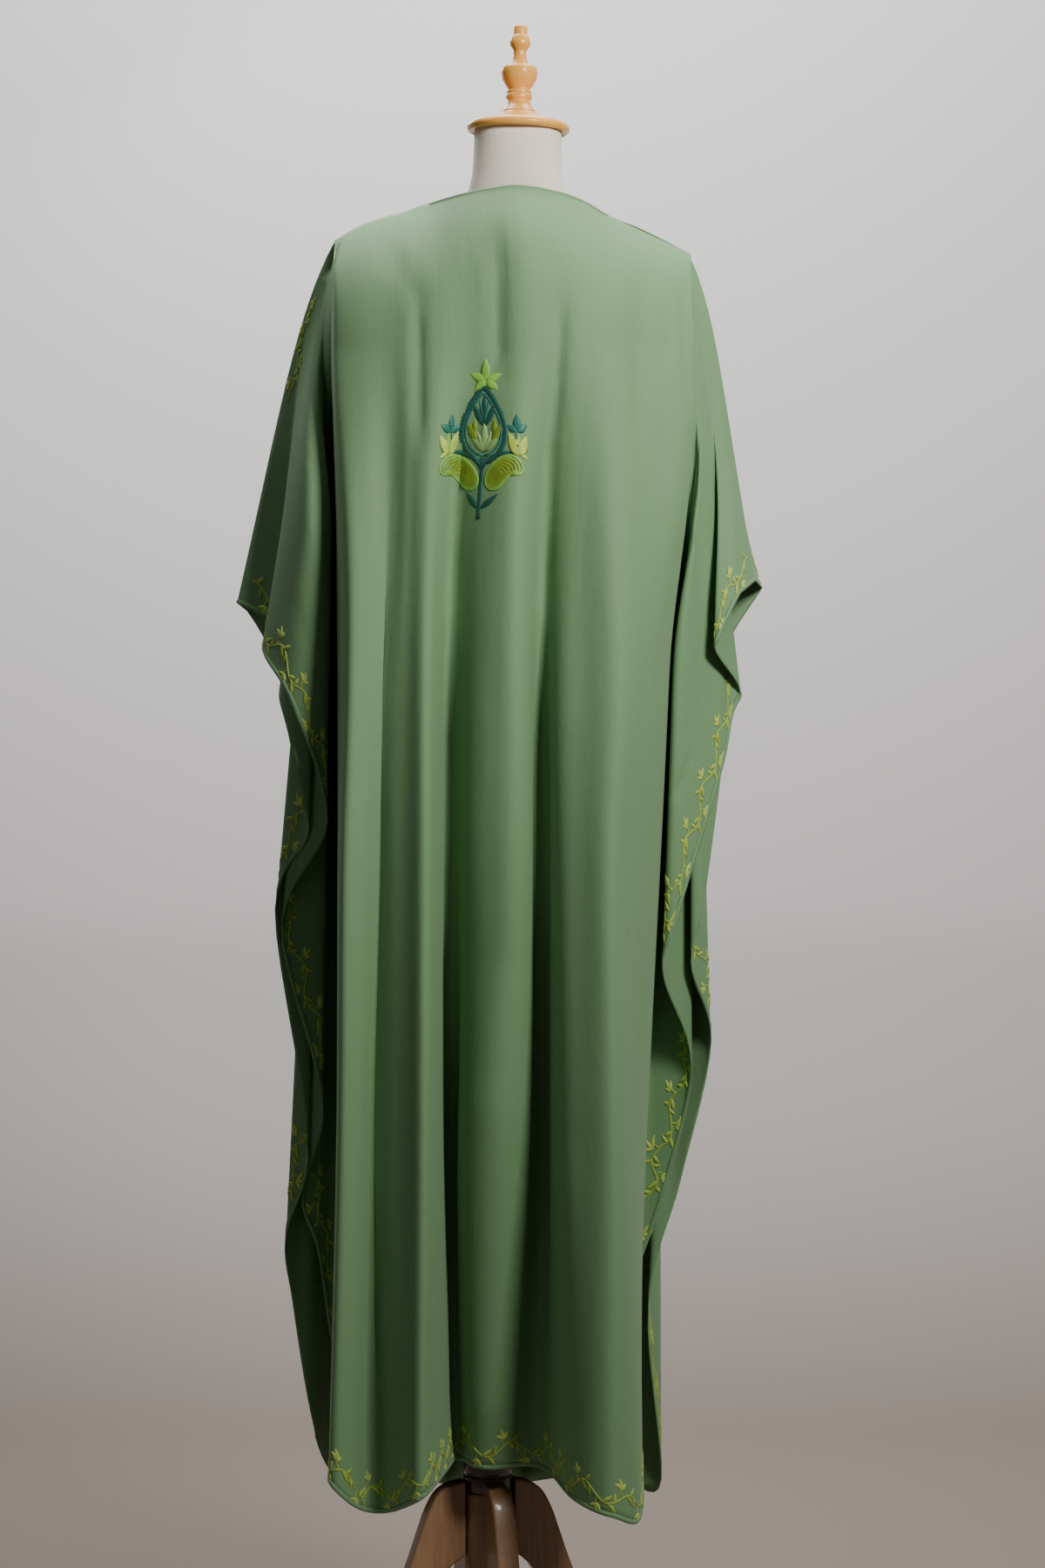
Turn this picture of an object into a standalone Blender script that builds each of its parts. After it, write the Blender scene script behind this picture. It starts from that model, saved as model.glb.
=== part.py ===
"""A long kaftan of two rectangular panels, worn by a limbless dress form on a turned stand.

Units are metres, +Z is up and the floor is z = 0. The wearer's back faces +Y. The tables below give the
cloth as it is seen from behind, in millimetres on the form's middle plane, and in_space() moves each
point nearer or farther along the line of sight.
"""

import math

import bmesh
import bpy
import numpy as np
from mathutils import Matrix, Vector

EYE_DISTANCE = 4.0
EYE_X = -0.038
EYE_Z = 0.995
ORIGIN_X = -0.0148
ORIGIN_Y = 0.0076

CLOTH_THICKNESS = 0.0011
SEAM_HALF_GAP = 0.0002
SAME_POINT = 0.00005
SEAT_GAP = 0.0003

COLUMNS_PER_RAY = 2
COLUMNS_PER_FOLD = 3
BACK_ROWS = 24
FRONT_ROWS = 20
ROW_CROWDING = 1.25

LEAN = math.radians(1.32)
LEAN_FOOT_Z = 0.262

LEFT, RIGHT = 1, -1
LEFT_SHOULDER = (0.166, 1.588)
RIGHT_SHOULDER = (-0.2185, 1.574)
LEFT_SLEEVE = 0.410
RIGHT_SLEEVE = 0.365
LONGEST_RAY = 1.35

# Each wing falls from the shoulder tip in rays. cloth: degrees from the sleeve's top edge, measured in
# the flat cloth. out: degrees away from plumb, seen from behind. depth: mm towards the back, full fold.
LEFT_BACK_RAYS = (
    ("sleeve_edge", 0.0, 14.3, 0),
    ("behind", 13.0, 8.8, 14),
    ("flap_left", 26.5, 9.7, 50),
    ("flap_middle", 38.0, 5.0, 98),
    ("flap_right", 50.2, 0.9, 85),
    ("second_left", 57.0, 4.5, 58),
    ("second_right", 64.1, 0.9, 38),
    ("third_left", 66.9, 2.0, 24),
    ("tip", 68.2, 1.0, 12),
    ("valley", 70.0, 0.2, -2),
    ("valley_turn", 71.8, -0.9, -2),
    ("corner", 73.5, -0.3, 90),
)
LEFT_FRONT_RAYS = (
    ("sleeve_edge", 0.0, 14.3, 0),
    ("under", 12.0, 12.6, -50),
    ("lower", 24.0, 9.3, -36),
    ("rise", 31.0, 7.1, 8),
    ("crest", 36.0, 7.0, 56),
    ("first_left", 42.0, 5.2, 82),
    ("first_right", 49.0, 3.0, 84),
    ("first_turn", 51.5, 2.7, 74),
    ("second_left", 56.3, 5.0, 55),
    ("second_right", 65.4, 1.7, 33),
    ("third_left", 67.9, 2.8, 21),
    ("tip", 69.4, 2.2, 8),
    ("tuck", 71.7, 0.9, -12),
)
RIGHT_BACK_RAYS = (
    ("sleeve_edge", 0.0, 11.1, 0),
    ("outer_middle", 15.0, 8.0, 48),
    ("outer_left", 30.5, 4.4, 60),
    ("outer_turn", 34.0, 4.1, 50),
    ("behind", 40.5, 6.9, 12),
    ("behind_turn", 44.0, 5.4, 12),
    ("flap_right", 50.0, 3.6, 30),
    ("flap_left", 60.0, -1.0, 64),
    ("flap_turn", 62.5, -1.9, 52),
    ("second_right", 65.8, 0.3, 8),
    ("valley", 69.5, -1.7, -15),
    ("valley_turn", 71.5, -3.3, -15),
    ("corner", 73.0, -2.7, 70),
)
RIGHT_FRONT_RAYS = (
    ("sleeve_edge", 0.0, 11.1, 0),
    ("under", 14.0, 12.4, -45),
    ("lobe", 34.0, 5.0, -32),
    ("inner", 46.0, 4.4, 0),
    ("wrap_left", 59.0, 1.4, 38),
    ("wrap_turn", 62.0, 0.2, 36),
    ("wrap_right", 65.0, 1.6, -6),
    ("tail", 69.0, -0.6, -32),
    ("tuck", 71.5, -2.2, -40),
)
SLEEVE_ROUNDING = {LEFT: (15.0, 0.14), RIGHT: (16.0, 0.10)}
ROUNDED_RAYS = 40.0
# A wing's folds open between these distances from the shoulder tip, the small ones lower down.
FOLDS_OPEN = {LEFT: (0.05, 0.34), RIGHT: (0.13, 0.46)}
SMALL_FOLDS_OPEN = (0.28, 0.58)
SMALL_FOLDS = ("second_left", "second_right", "third_left", "tip", "wrap_left", "wrap_turn", "wrap_right")
SHOULDER_ROUND = 0.09

# The body hangs in upright folds. top: x, z and depth where the fold meets the shoulder or the neck.
# x and depth: at the heights of FOLD_HEIGHTS, in mm. hem: height of the hem there, in mm.
FOLD_HEIGHTS = (1470, 1260, 1090, 900, 615, 235)
BACK_FOLDS = (
    ("ridge_a", (166, 1588, 0), (165, 154, 154, 160, 163, 173), (95, 140, 160, 180, 190, 198), 234),
    ("slope_a", (142, 1602, 0), (138, 133, 135, 138, 142, 148), (112, 142, 158, 175, 186, 198), 208),
    ("valley_1", (115, 1612, 0), (106, 110, 114, 116, 122, 124), (122, 128, 134, 140, 146, 158), 200),
    ("fold_k", (92, 1618, 0), (84, 89, 92, 94, 96, 97), (130, 142, 154, 165, 176, 184), 203),
    ("ridge_b", (66, 1627, 0), (57, 64, 67, 67, 66, 67), (136, 156, 180, 198, 212, 214), 219),
    ("valley_2", (22, 1640, 44), (16, 36, 40, 42, 41, 33), (134, 121, 118, 116, 66, 36), 257),
    ("ridge_c", (-28, 1648, 58), (-36, -26, -22, -20, -10, 2), (146, 160, 168, 164, 124, 62), 250),
    ("valley_3", (-76, 1641, 44), (-73, -61, -59, -61, -59, -58), (140, 124, 119, 116, 90, 52), 249),
    ("slope_d", (-106, 1630, 20), (-104, -96, -92, -92, -92, -94), (137, 140, 150, 160, 170, 176), 214),
    ("ridge_d", (-133, 1614, 0), (-140, -140, -140, -132, -136, -136), (122, 152, 172, 188, 204, 216), 195),
    ("edge_d", (-180, 1592, 0), (-178, -180, -168, -155, -158, -168), (84, 112, 138, 152, 162, 170), 200),
)
FRONT_FOLDS = (
    ("side_left", (160, 1591, 0), (160, 150, 148, 152, 155, 160), (-60, -62, -70, -82, -90, -96), 236),
    ("ridge_1", (126, 1607, 0), (112, 108, 112, 116, 120, 124), (-118, -136, -158, -176, -190, -200), 232),
    ("valley_1", (92, 1618, 0), (70, 72, 74, 76, 78, 80), (-126, -122, -120, -124, -126, -128), 236),
    ("ridge_2", (66, 1626, 0), (38, 36, 36, 38, 40, 42), (-140, -154, -170, -184, -194, -202), 232),
    ("valley_2", (20, 1556, -80), (2, 0, -2, -2, 0, 2), (-140, -128, -122, -122, -104, -96), 238),
    ("ridge_3", (-34, 1476, -128), (-34, -36, -38, -38, -40, -40), (-128, -150, -168, -182, -190, -196), 234),
    ("valley_3", (-88, 1550, -80), (-74, -74, -74, -74, -76, -78), (-140, -126, -120, -122, -112, -108), 238),
    ("ridge_4", (-133, 1613, 0), (-112, -110, -110, -112, -116, -120), (-132, -150, -170, -186, -196, -204), 232),
    ("valley_4", (-160, 1603, 0), (-146, -142, -142, -144, -146, -150), (-104, -108, -112, -120, -124, -128), 236),
    ("side_right", (-196, 1586, 0), (-186, -184, -182, -184, -186, -188), (-58, -66, -78, -88, -96, -100), 236),
)
SETTLE_X = 0.05
SETTLE_DEPTH = 0.042

# The form's rings: height, half width, half depth, in mm.
FORM_RINGS = (
    (872, 118, 84),
    (884, 134, 96),
    (920, 144, 103),
    (960, 146, 105),
    (1050, 134, 98),
    (1140, 114, 84),
    (1240, 124, 90),
    (1350, 146, 102),
    (1440, 160, 98),
    (1500, 168, 80),
    (1540, 172, 60),
    (1562, 171, 46),
    (1575, 161, 27),
    (1586.5, 154, 15),
    (1597.5, 142, 7),
    (1607, 120, 9),
    (1613, 96, 22),
    (1620, 72, 38),
    (1634, 56, 44),
    (1650, 51, 46),
    (1707, 47.5, 46.5),
)
FORM_SIDES = 28
FORM_SQUARENESS = 2.3

NECK_TOP_Z = 1.707
# Turned profiles, from the top down the outer side: radius and height over the neck's top, in mm.
CAP_PROFILE = (
    (0, 20.2), (20.2, 20.2), (22.4, 17.6), (30, 14.0), (42, 10.8), (48, 9.8),
    (52, 8.8), (55.2, 6.2), (56.4, 3.0), (55.6, 0.2), (53.6, -1.8), (52, -1.8), (51, -0.8), (50.8, 0), (0, 0),
)
FINIAL_PROFILE = (
    (0, 116), (5.6, 115.6), (7.6, 113.6), (7.8, 105), (9.6, 103), (11.4, 97.5), (11.2, 94), (8.6, 90),
    (6.9, 87.4), (7.0, 83), (8.2, 77), (11.0, 71.2), (17.4, 70.6), (19.2, 68.4), (20.0, 63.6), (18.6, 56),
    (14.6, 49), (12.2, 46), (12.2, 44.4), (13.6, 43.6), (13.8, 41.4), (12.8, 40.6), (14.2, 39),
    (14.6, 36.4), (13.2, 34.6), (12.2, 33.4), (14.0, 28), (17.4, 23.6), (19.4, 21.6), (19.6, 20.5), (0, 20.5),
)
TURNING_STEPS = 20

POLE_RADIUS = 0.0125
TORSO_BOTTOM_Z = 0.872
HUB_RADIUS = 0.0268
HUB_BOTTOM_Z = 0.224
HUB_TOP_Z = 0.262
COLUMN_RADIUS = 0.0262
COLUMN_BOTTOM_Z = 0.060
LEG_THICKNESS = 0.024
LEG_HEADINGS = (-16.0, 74.0, 164.0, 254.0)
LEG_ROOT = HUB_RADIUS + 0.0004
# A leg's board: distance from the post and height, in mm, round its outline.
LEG_OUTLINE = (
    (0, 238), (18, 234), (32, 224), (43, 204), (51, 182), (66, 140), (86, 96), (112, 58), (142, 34),
    (172, 22), (178, 12), (176, 0), (132, 0), (112, 12), (88, 34), (62, 70), (40, 108), (20, 142), (0, 158),
)

COLOURS = {
    "cloth": (0.162, 0.315, 0.135),
    "linen": (0.640, 0.560, 0.470),
    "honey_wood": (0.560, 0.270, 0.075),
    "leg_wood": (0.330, 0.190, 0.095),
    "dark_wood": (0.075, 0.030, 0.018),
    "steel": (0.450, 0.450, 0.450),
}


def material(name, roughness, metallic=0.0):
    made = bpy.data.materials.new(name)
    made.use_nodes = True
    shader = made.node_tree.nodes["Principled BSDF"]
    shader.inputs["Base Color"].default_value = (*COLOURS[name], 1.0)
    shader.inputs["Roughness"].default_value = roughness
    shader.inputs["Metallic"].default_value = metallic
    return made


def in_space(x, depth, z):
    """The point that is seen from behind at x, z on the middle plane and lies depth behind that plane."""
    nearness = (EYE_DISTANCE - depth) / EYE_DISTANCE
    return Vector((EYE_X + (x - EYE_X) * nearness, depth, EYE_Z + (z - EYE_Z) * nearness))


def ease(value, start, end):
    share = min(max((value - start) / (end - start), 0.0), 1.0)
    return share * share * (3.0 - 2.0 * share)


def through(knots, values, at):
    """A smooth curve through the values at the knots, which may rise or fall; flat beyond the ends."""
    order = 1 if knots[-1] > knots[0] else -1
    knots = [order * knot for knot in knots]
    at = min(max(order * at, knots[0]), knots[-1])
    last = len(knots) - 1
    k = min(max(sum(knot <= at for knot in knots) - 1, 0), last - 1)
    span = knots[k + 1] - knots[k]

    def slope(i):
        low, high = max(i - 1, 0), min(i + 1, last)
        return (values[high] - values[low]) / (knots[high] - knots[low])

    s = (at - knots[k]) / span
    return (
        values[k] * (1 + 2 * s) * (1 - s) ** 2
        + slope(k) * span * s * (1 - s) ** 2
        + values[k + 1] * s * s * (3 - 2 * s)
        + slope(k + 1) * span * s * s * (s - 1)
    )


def ray_at(rays, index, reach):
    """How far out and how deep a ray lies at this reach. A small fold starts flat between its neighbours."""
    name, cloth, out, depth = rays[index]
    if name not in SMALL_FOLDS:
        return out, depth
    low, high = index, index
    while rays[low][0] in SMALL_FOLDS:
        low -= 1
    while rays[high][0] in SMALL_FOLDS:
        high += 1
    share = (cloth - rays[low][1]) / (rays[high][1] - rays[low][1])
    grown = ease(reach, *SMALL_FOLDS_OPEN)
    flat_out = rays[low][2] + (rays[high][2] - rays[low][2]) * share
    flat_depth = rays[low][3] + (rays[high][3] - rays[low][3]) * share
    return flat_out + (out - flat_out) * grown, flat_depth + (depth - flat_depth) * grown


def wing_point(side, rays, index, depth_at_body, down):
    """A point of a wing, on the ray with this index, at the share down of that ray's length."""
    cloth = rays[index][1]
    shoulder_x, shoulder_z = LEFT_SHOULDER if side == LEFT else RIGHT_SHOULDER
    sleeve = LEFT_SLEEVE if side == LEFT else RIGHT_SLEEVE
    reach = down * min(sleeve / math.cos(math.radians(cloth)), LONGEST_RAY)
    out, depth = ray_at(rays, index, reach)
    even = index / len(rays)
    folded = ease(reach, *FOLDS_OPEN[side])
    sleeve_out = rays[0][2]
    even_out = sleeve_out * (1.0 - even)
    swing = even_out + (out - even_out) * folded
    rounding, fade = SLEEVE_ROUNDING[side]
    swing += rounding * math.exp(-reach / fade) * max(1.0 - cloth / ROUNDED_RAYS, 0.0)
    even_depth = depth_at_body * even * (1.0 - math.exp(-reach / SHOULDER_ROUND))
    fold_depth = even_depth + (depth * 0.001 - even_depth) * folded
    angle = math.radians(swing)
    across = reach * math.sin(angle)
    drop = math.sqrt(max(reach * reach - across * across - fold_depth * fold_depth, 0.0))
    return in_space(shoulder_x + side * across, fold_depth, shoulder_z - drop)


def body_point(fold, down):
    """A point of an upright fold, at the share down of its height."""
    _, (top_x, top_z, top_depth), xs, depths, hem = fold
    heights = FOLD_HEIGHTS[:-1] + (hem,)
    height = top_z + (hem - top_z) * down
    fallen = (top_z - height) * 0.001
    x = through(heights, xs, height)
    depth = through(heights, depths, height)
    x = top_x + (x - top_x) * (1.0 - math.exp(-fallen / SETTLE_X))
    depth = top_depth + (depth - top_depth) * (1.0 - math.exp(-fallen / SETTLE_DEPTH))
    return in_space(x * 0.001, depth * 0.001, height * 0.001)


class Panel:
    """One panel as a smooth surface: across counts folds from the left edge, down runs from 0 to 1."""

    def __init__(self, left_rays, folds, right_rays, facing):
        self.left_rays = left_rays
        self.folds = folds
        self.right_rays = right_rays
        self.facing = facing
        self.count = len(left_rays) + len(folds) + len(right_rays)

    def on_fold(self, index, down):
        index = min(max(index, 0), self.count - 1)
        body_start = len(self.left_rays)
        body_end = body_start + len(self.folds)
        if index < body_start:
            depth = self.folds[0][3][0] * 0.001
            return wing_point(LEFT, self.left_rays, index, depth, down)
        if index < body_end:
            return body_point(self.folds[index - body_start], down)
        depth = self.folds[-1][3][0] * 0.001
        return wing_point(RIGHT, self.right_rays, self.count - 1 - index, depth, down)

    def point(self, across, down):
        k = min(int(across), self.count - 2)
        s = across - k
        before, here, there, after = (self.on_fold(k + step, down) for step in (-1, 0, 1, 2))
        if min((here - before).length, (there - here).length, (after - there).length) < SAME_POINT:
            before, after = 2 * here - there, 2 * there - here
        place = 0.5 * (
            2 * here
            + (there - before) * s
            + (2 * before - 5 * here + 4 * there - after) * s * s
            + (3 * here - before - 3 * there + after) * s**3
        )
        if across in (0, self.count - 1) or down == 0:
            place.y = self.facing * max(self.facing * place.y, SEAM_HALF_GAP)
        return place - Vector((ORIGIN_X, ORIGIN_Y, 0.0))

    def grid(self, rows, columns):
        """Rows of points, with the outward normal at each."""
        places = np.array([[self.point(across, down) for across in columns] for down in rows])
        sideways = np.gradient(places, axis=1)
        downwards = np.gradient(places, axis=0)
        downwards[0] = places[1] - places[0]
        normals = np.cross(downwards, sideways) * self.facing
        for tip in (places[0][0], places[0][-1]):
            at_tip = np.linalg.norm(places[0] - tip, axis=1) < SAME_POINT
            normals[0][at_tip] = normals[1][at_tip].sum(axis=0)
        lengths = np.linalg.norm(normals, axis=2, keepdims=True)
        return places, normals / lengths


BACK = Panel(LEFT_BACK_RAYS, BACK_FOLDS, RIGHT_BACK_RAYS, 1)
FRONT = Panel(LEFT_FRONT_RAYS, FRONT_FOLDS, RIGHT_FRONT_RAYS, -1)


def row_places(rows):
    return [(row / rows) ** ROW_CROWDING for row in range(rows + 1)]


def column_places(panel):
    body_start = len(panel.left_rays) - 1
    body_end = body_start + len(panel.folds) + 1
    places = []
    for index in range(panel.count - 1):
        steps = COLUMNS_PER_FOLD if body_start <= index < body_end else COLUMNS_PER_RAY
        places += [index + step / steps for step in range(steps)]
    return places + [float(panel.count - 1)]


def finish_mesh(name, mesh_builder, surface, collection):
    mesh_data = bpy.data.meshes.new(name)
    bmesh.ops.recalc_face_normals(mesh_builder, faces=mesh_builder.faces)
    mesh_builder.to_mesh(mesh_data)
    mesh_builder.free()
    made = bpy.data.objects.new(name, mesh_data)
    made.data.materials.append(surface)
    made.data.shade_smooth()
    collection.objects.link(made)
    return made


def wall(name, inside, outside, surface, collection):
    """A closed wall between two grids of points of the same shape."""
    builder = bmesh.new()
    sheets = [[[builder.verts.new(place) for place in row] for row in sheet] for sheet in (inside, outside)]
    rows, columns = len(inside), len(inside[0])

    def face(*corners):
        builder.faces.new(corners)

    for sheet in sheets:
        for row in range(rows - 1):
            for column in range(columns - 1):
                after = column + 1
                face(sheet[row][column], sheet[row][after], sheet[row + 1][after], sheet[row + 1][column])
    for row in (0, rows - 1):
        for column in range(columns - 1):
            after = column + 1
            face(sheets[0][row][column], sheets[0][row][after], sheets[1][row][after], sheets[1][row][column])
    for column in (0, columns - 1):
        for row in range(rows - 1):
            below = row + 1
            face(sheets[0][row][column], sheets[0][below][column], sheets[1][below][column], sheets[1][row][column])
    bmesh.ops.remove_doubles(builder, verts=builder.verts, dist=0.00002)
    return finish_mesh(name, builder, surface, collection)


def make_panel(name, panel, rows, surface, collection):
    places, normals = panel.grid(row_places(rows), column_places(panel))
    return wall(name, places, places + normals * CLOTH_THICKNESS, surface, collection)


def leaning(made):
    """Tilts a piece of the form about the foot of its pole and moves it to the model's origin."""
    foot = Vector((0.0, 0.0, LEAN_FOOT_Z))
    turn = Matrix.Rotation(-LEAN, 4, "Y")
    made.matrix_world = (
        Matrix.Translation(Vector((-ORIGIN_X, -ORIGIN_Y, 0.0)))
        @ Matrix.Translation(foot)
        @ turn
        @ Matrix.Translation(-foot)
        @ made.matrix_world
    )


def make_torso(surface, collection):
    builder = bmesh.new()
    power = 2.0 / FORM_SQUARENESS
    rings = []
    for height, half_width, half_depth in FORM_RINGS:
        ring = []
        for step in range(FORM_SIDES):
            angle = 2 * math.pi * step / FORM_SIDES
            x = math.copysign(abs(math.cos(angle)) ** power, math.cos(angle)) * half_width
            y = math.copysign(abs(math.sin(angle)) ** power, math.sin(angle)) * half_depth
            ring.append(builder.verts.new(Vector((x, y, height)) * 0.001))
        rings.append(ring)
    for lower, upper in zip(rings, rings[1:]):
        for step in range(FORM_SIDES):
            after = (step + 1) % FORM_SIDES
            builder.faces.new((lower[step], lower[after], upper[after], upper[step]))
    builder.faces.new(rings[0])
    builder.faces.new(rings[-1])
    leaning(finish_mesh("form_torso", builder, surface, collection))


def turned(name, profile, lift, surface, collection):
    """A turned piece from its outer profile, in mm, standing lift above the floor."""
    builder = bmesh.new()
    corners = [builder.verts.new((radius * 0.001, 0.0, height * 0.001 + lift)) for radius, height in profile]
    for above, below in zip(corners, corners[1:]):
        builder.edges.new((above, below))
    mesh_data = bpy.data.meshes.new(name)
    builder.to_mesh(mesh_data)
    builder.free()
    made = bpy.data.objects.new(name, mesh_data)
    made.data.materials.append(surface)
    collection.objects.link(made)
    screw = made.modifiers.new("Turning", "SCREW")
    screw.axis = "Z"
    screw.steps = TURNING_STEPS
    screw.render_steps = TURNING_STEPS
    screw.use_merge_vertices = True
    screw.merge_threshold = 0.00005
    screw.use_smooth_shade = True
    return made


def make_head(surface, collection):
    leaning(turned("neck_cap", CAP_PROFILE, NECK_TOP_Z + SEAT_GAP, surface, collection))
    leaning(turned("finial", FINIAL_PROFILE, NECK_TOP_Z + SEAT_GAP, surface, collection))


def make_rod(name, radius, bottom, top, surface, collection):
    builder = bmesh.new()
    bmesh.ops.create_cone(
        builder,
        cap_ends=True,
        segments=TURNING_STEPS,
        radius1=radius,
        radius2=radius,
        depth=top - bottom,
        matrix=Matrix.Translation((0.0, 0.0, (bottom + top) / 2)),
    )
    return finish_mesh(name, builder, surface, collection)


def make_legs(surface, collection):
    outline = bpy.data.curves.new("leg_outline", "CURVE")
    outline.dimensions = "2D"
    outline.fill_mode = "BOTH"
    outline.extrude = LEG_THICKNESS / 2
    spline = outline.splines.new("POLY")
    spline.points.add(len(LEG_OUTLINE) - 1)
    for point, (reach, height) in zip(spline.points, LEG_OUTLINE):
        point.co = (reach * 0.001 + LEG_ROOT, height * 0.001, 0.0, 1.0)
    spline.use_cyclic_u = True
    outline.materials.append(surface)
    for number, heading in enumerate(LEG_HEADINGS, start=1):
        leg = bpy.data.objects.new(f"leg_{number}", outline)
        collection.objects.link(leg)
        upright = Matrix.Rotation(math.radians(90.0), 4, "X")
        turn = Matrix.Rotation(math.radians(90.0 - heading), 4, "Z")
        leg.matrix_world = Matrix.Translation((-ORIGIN_X, -ORIGIN_Y, 0.0)) @ turn @ upright


def make_stand(collection):
    steel = material("steel", 0.35, 1.0)
    dark = material("dark_wood", 0.30)
    brown = material("leg_wood", 0.45)
    pole = make_rod("pole", POLE_RADIUS, HUB_TOP_Z + SEAT_GAP * 2, TORSO_BOTTOM_Z - SEAT_GAP, steel, collection)
    leaning(pole)
    here = Matrix.Translation((-ORIGIN_X, -ORIGIN_Y, 0.0))
    hub = make_rod("hub_collar", HUB_RADIUS, HUB_BOTTOM_Z, HUB_TOP_Z, dark, collection)
    column = make_rod("base_column", COLUMN_RADIUS, COLUMN_BOTTOM_Z, HUB_BOTTOM_Z - SEAT_GAP, brown, collection)
    hub.matrix_world = here
    column.matrix_world = here
    make_legs(brown, collection)


def main():
    for old in list(bpy.data.objects):
        bpy.data.objects.remove(old, do_unlink=True)
    collection = bpy.data.collections.new("kaftan_on_form")
    bpy.context.scene.collection.children.link(collection)
    cloth = material("cloth", 0.80)
    make_panel("back_panel", BACK, BACK_ROWS, cloth, collection)
    make_panel("front_panel", FRONT, FRONT_ROWS, cloth, collection)
    make_torso(material("linen", 0.90), collection)
    make_head(material("honey_wood", 0.30), collection)
    make_stand(collection)


main()
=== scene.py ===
"""The kaftan on its dress form, seen from behind in soft studio light.

Units are metres, +Z is up and the wearer's back faces +Y. The cloth follows the same folds as the packed
panels, on a finer grid. Tables give folds as seen from behind, in millimetres on the form's middle plane.
"""

import math
from functools import partial

import bmesh
import bpy
import numpy as np
from mathutils import Matrix, Vector
from mathutils.bvhtree import BVHTree

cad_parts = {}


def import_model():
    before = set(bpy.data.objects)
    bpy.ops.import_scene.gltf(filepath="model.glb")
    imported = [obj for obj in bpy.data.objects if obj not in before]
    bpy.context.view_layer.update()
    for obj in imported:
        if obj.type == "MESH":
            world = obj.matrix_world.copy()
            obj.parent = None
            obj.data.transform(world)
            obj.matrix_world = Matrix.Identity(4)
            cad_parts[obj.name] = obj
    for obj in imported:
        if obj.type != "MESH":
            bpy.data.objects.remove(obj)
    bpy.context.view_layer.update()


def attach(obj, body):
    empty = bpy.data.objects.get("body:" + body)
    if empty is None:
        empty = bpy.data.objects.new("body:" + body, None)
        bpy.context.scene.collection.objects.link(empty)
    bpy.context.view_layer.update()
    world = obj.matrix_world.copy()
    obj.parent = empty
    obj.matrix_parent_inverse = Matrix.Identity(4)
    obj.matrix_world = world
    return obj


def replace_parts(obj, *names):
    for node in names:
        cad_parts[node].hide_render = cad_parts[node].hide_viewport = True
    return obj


MM = 0.001
TINY = 1e-12
# Where the photo was taken from, in the frame of the tables, and the model's origin in that frame.
EYE_DISTANCE = 4.0
EYE_X = -0.038
EYE_Z = 0.995
ORIGIN = Vector((-0.0148, 0.0076, 0.0))
LENS_MM = 84.2

# The cloth's outer face lies this far outside the surface of the folds.
CLOTH_LIFT = 0.0008
CLOTH_THICKNESS = 0.0005
SEAM_HALF_GAP = 0.0003
SAME_POINT = 0.00005
ROWS = 150
STEPS_PER_FOLD = 7
ROW_CROWDING = 1.25
RUN_STEPS = 900
# Keeps a place inside the last cell of the grid.
LAST_CELL = 0.001
# The flat cloth is this much wider than the straight lines between its folds.
FLAT_FULLNESS = 1.06

LEAN = math.radians(1.32)
LEAN_FOOT_Z = 0.262

LEFT, RIGHT = 1, -1
SHOULDERS = {LEFT: (0.166, 1.588), RIGHT: (-0.2185, 1.574)}
SLEEVES = {LEFT: 0.410, RIGHT: 0.365}
LONGEST_RAY = 1.35

# Each wing falls from the shoulder tip in rays. cloth: degrees from the sleeve's top edge, measured in
# the flat cloth. out: degrees away from plumb, seen from behind. depth: mm towards the back, full fold.
LEFT_BACK_RAYS = (
    ("sleeve_edge", 0.0, 14.3, 0),
    ("behind", 13.0, 8.8, 14),
    ("flap_left", 26.5, 9.7, 50),
    ("flap_middle", 38.0, 5.0, 98),
    ("flap_right", 50.2, 0.9, 85),
    ("second_left", 57.0, 4.5, 58),
    ("second_right", 64.1, 0.9, 38),
    ("third_left", 66.9, 2.0, 24),
    ("tip", 68.2, 1.0, 12),
    ("valley", 70.0, 0.2, -2),
    ("valley_turn", 71.8, -0.9, -2),
    ("corner", 73.5, -0.3, 90),
)
LEFT_FRONT_RAYS = (
    ("sleeve_edge", 0.0, 14.3, 0),
    ("under", 12.0, 12.6, -50),
    ("lower", 24.0, 9.3, -36),
    ("rise", 31.0, 7.1, 8),
    ("crest", 36.0, 7.0, 56),
    ("first_left", 42.0, 5.2, 82),
    ("first_right", 49.0, 3.0, 84),
    ("first_turn", 51.5, 2.7, 74),
    ("second_left", 56.3, 5.0, 55),
    ("second_right", 65.4, 1.7, 33),
    ("third_left", 67.9, 2.8, 21),
    ("tip", 69.4, 2.2, 8),
    ("tuck", 71.7, 0.9, -12),
)
RIGHT_BACK_RAYS = (
    ("sleeve_edge", 0.0, 11.1, 0),
    ("outer_middle", 15.0, 8.0, 48),
    ("outer_left", 30.5, 4.4, 60),
    ("outer_turn", 34.0, 4.1, 50),
    ("behind", 40.5, 6.9, 12),
    ("behind_turn", 44.0, 5.4, 12),
    ("flap_right", 50.0, 3.6, 30),
    ("flap_left", 60.0, -1.0, 64),
    ("flap_turn", 62.5, -1.9, 52),
    ("second_right", 65.8, 0.3, 8),
    ("valley", 69.5, -1.7, -15),
    ("valley_turn", 71.5, -3.3, -15),
    ("corner", 73.0, -2.7, 70),
)
RIGHT_FRONT_RAYS = (
    ("sleeve_edge", 0.0, 11.1, 0),
    ("under", 14.0, 12.4, -45),
    ("lobe", 34.0, 5.0, -32),
    ("inner", 46.0, 4.4, 0),
    ("wrap_left", 59.0, 1.4, 38),
    ("wrap_turn", 62.0, 0.2, 36),
    ("wrap_right", 65.0, 1.6, -6),
    ("tail", 69.0, -0.6, -32),
    ("tuck", 71.5, -2.2, -40),
)
SLEEVE_ROUNDING = {LEFT: (15.0, 0.14), RIGHT: (16.0, 0.10)}
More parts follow.
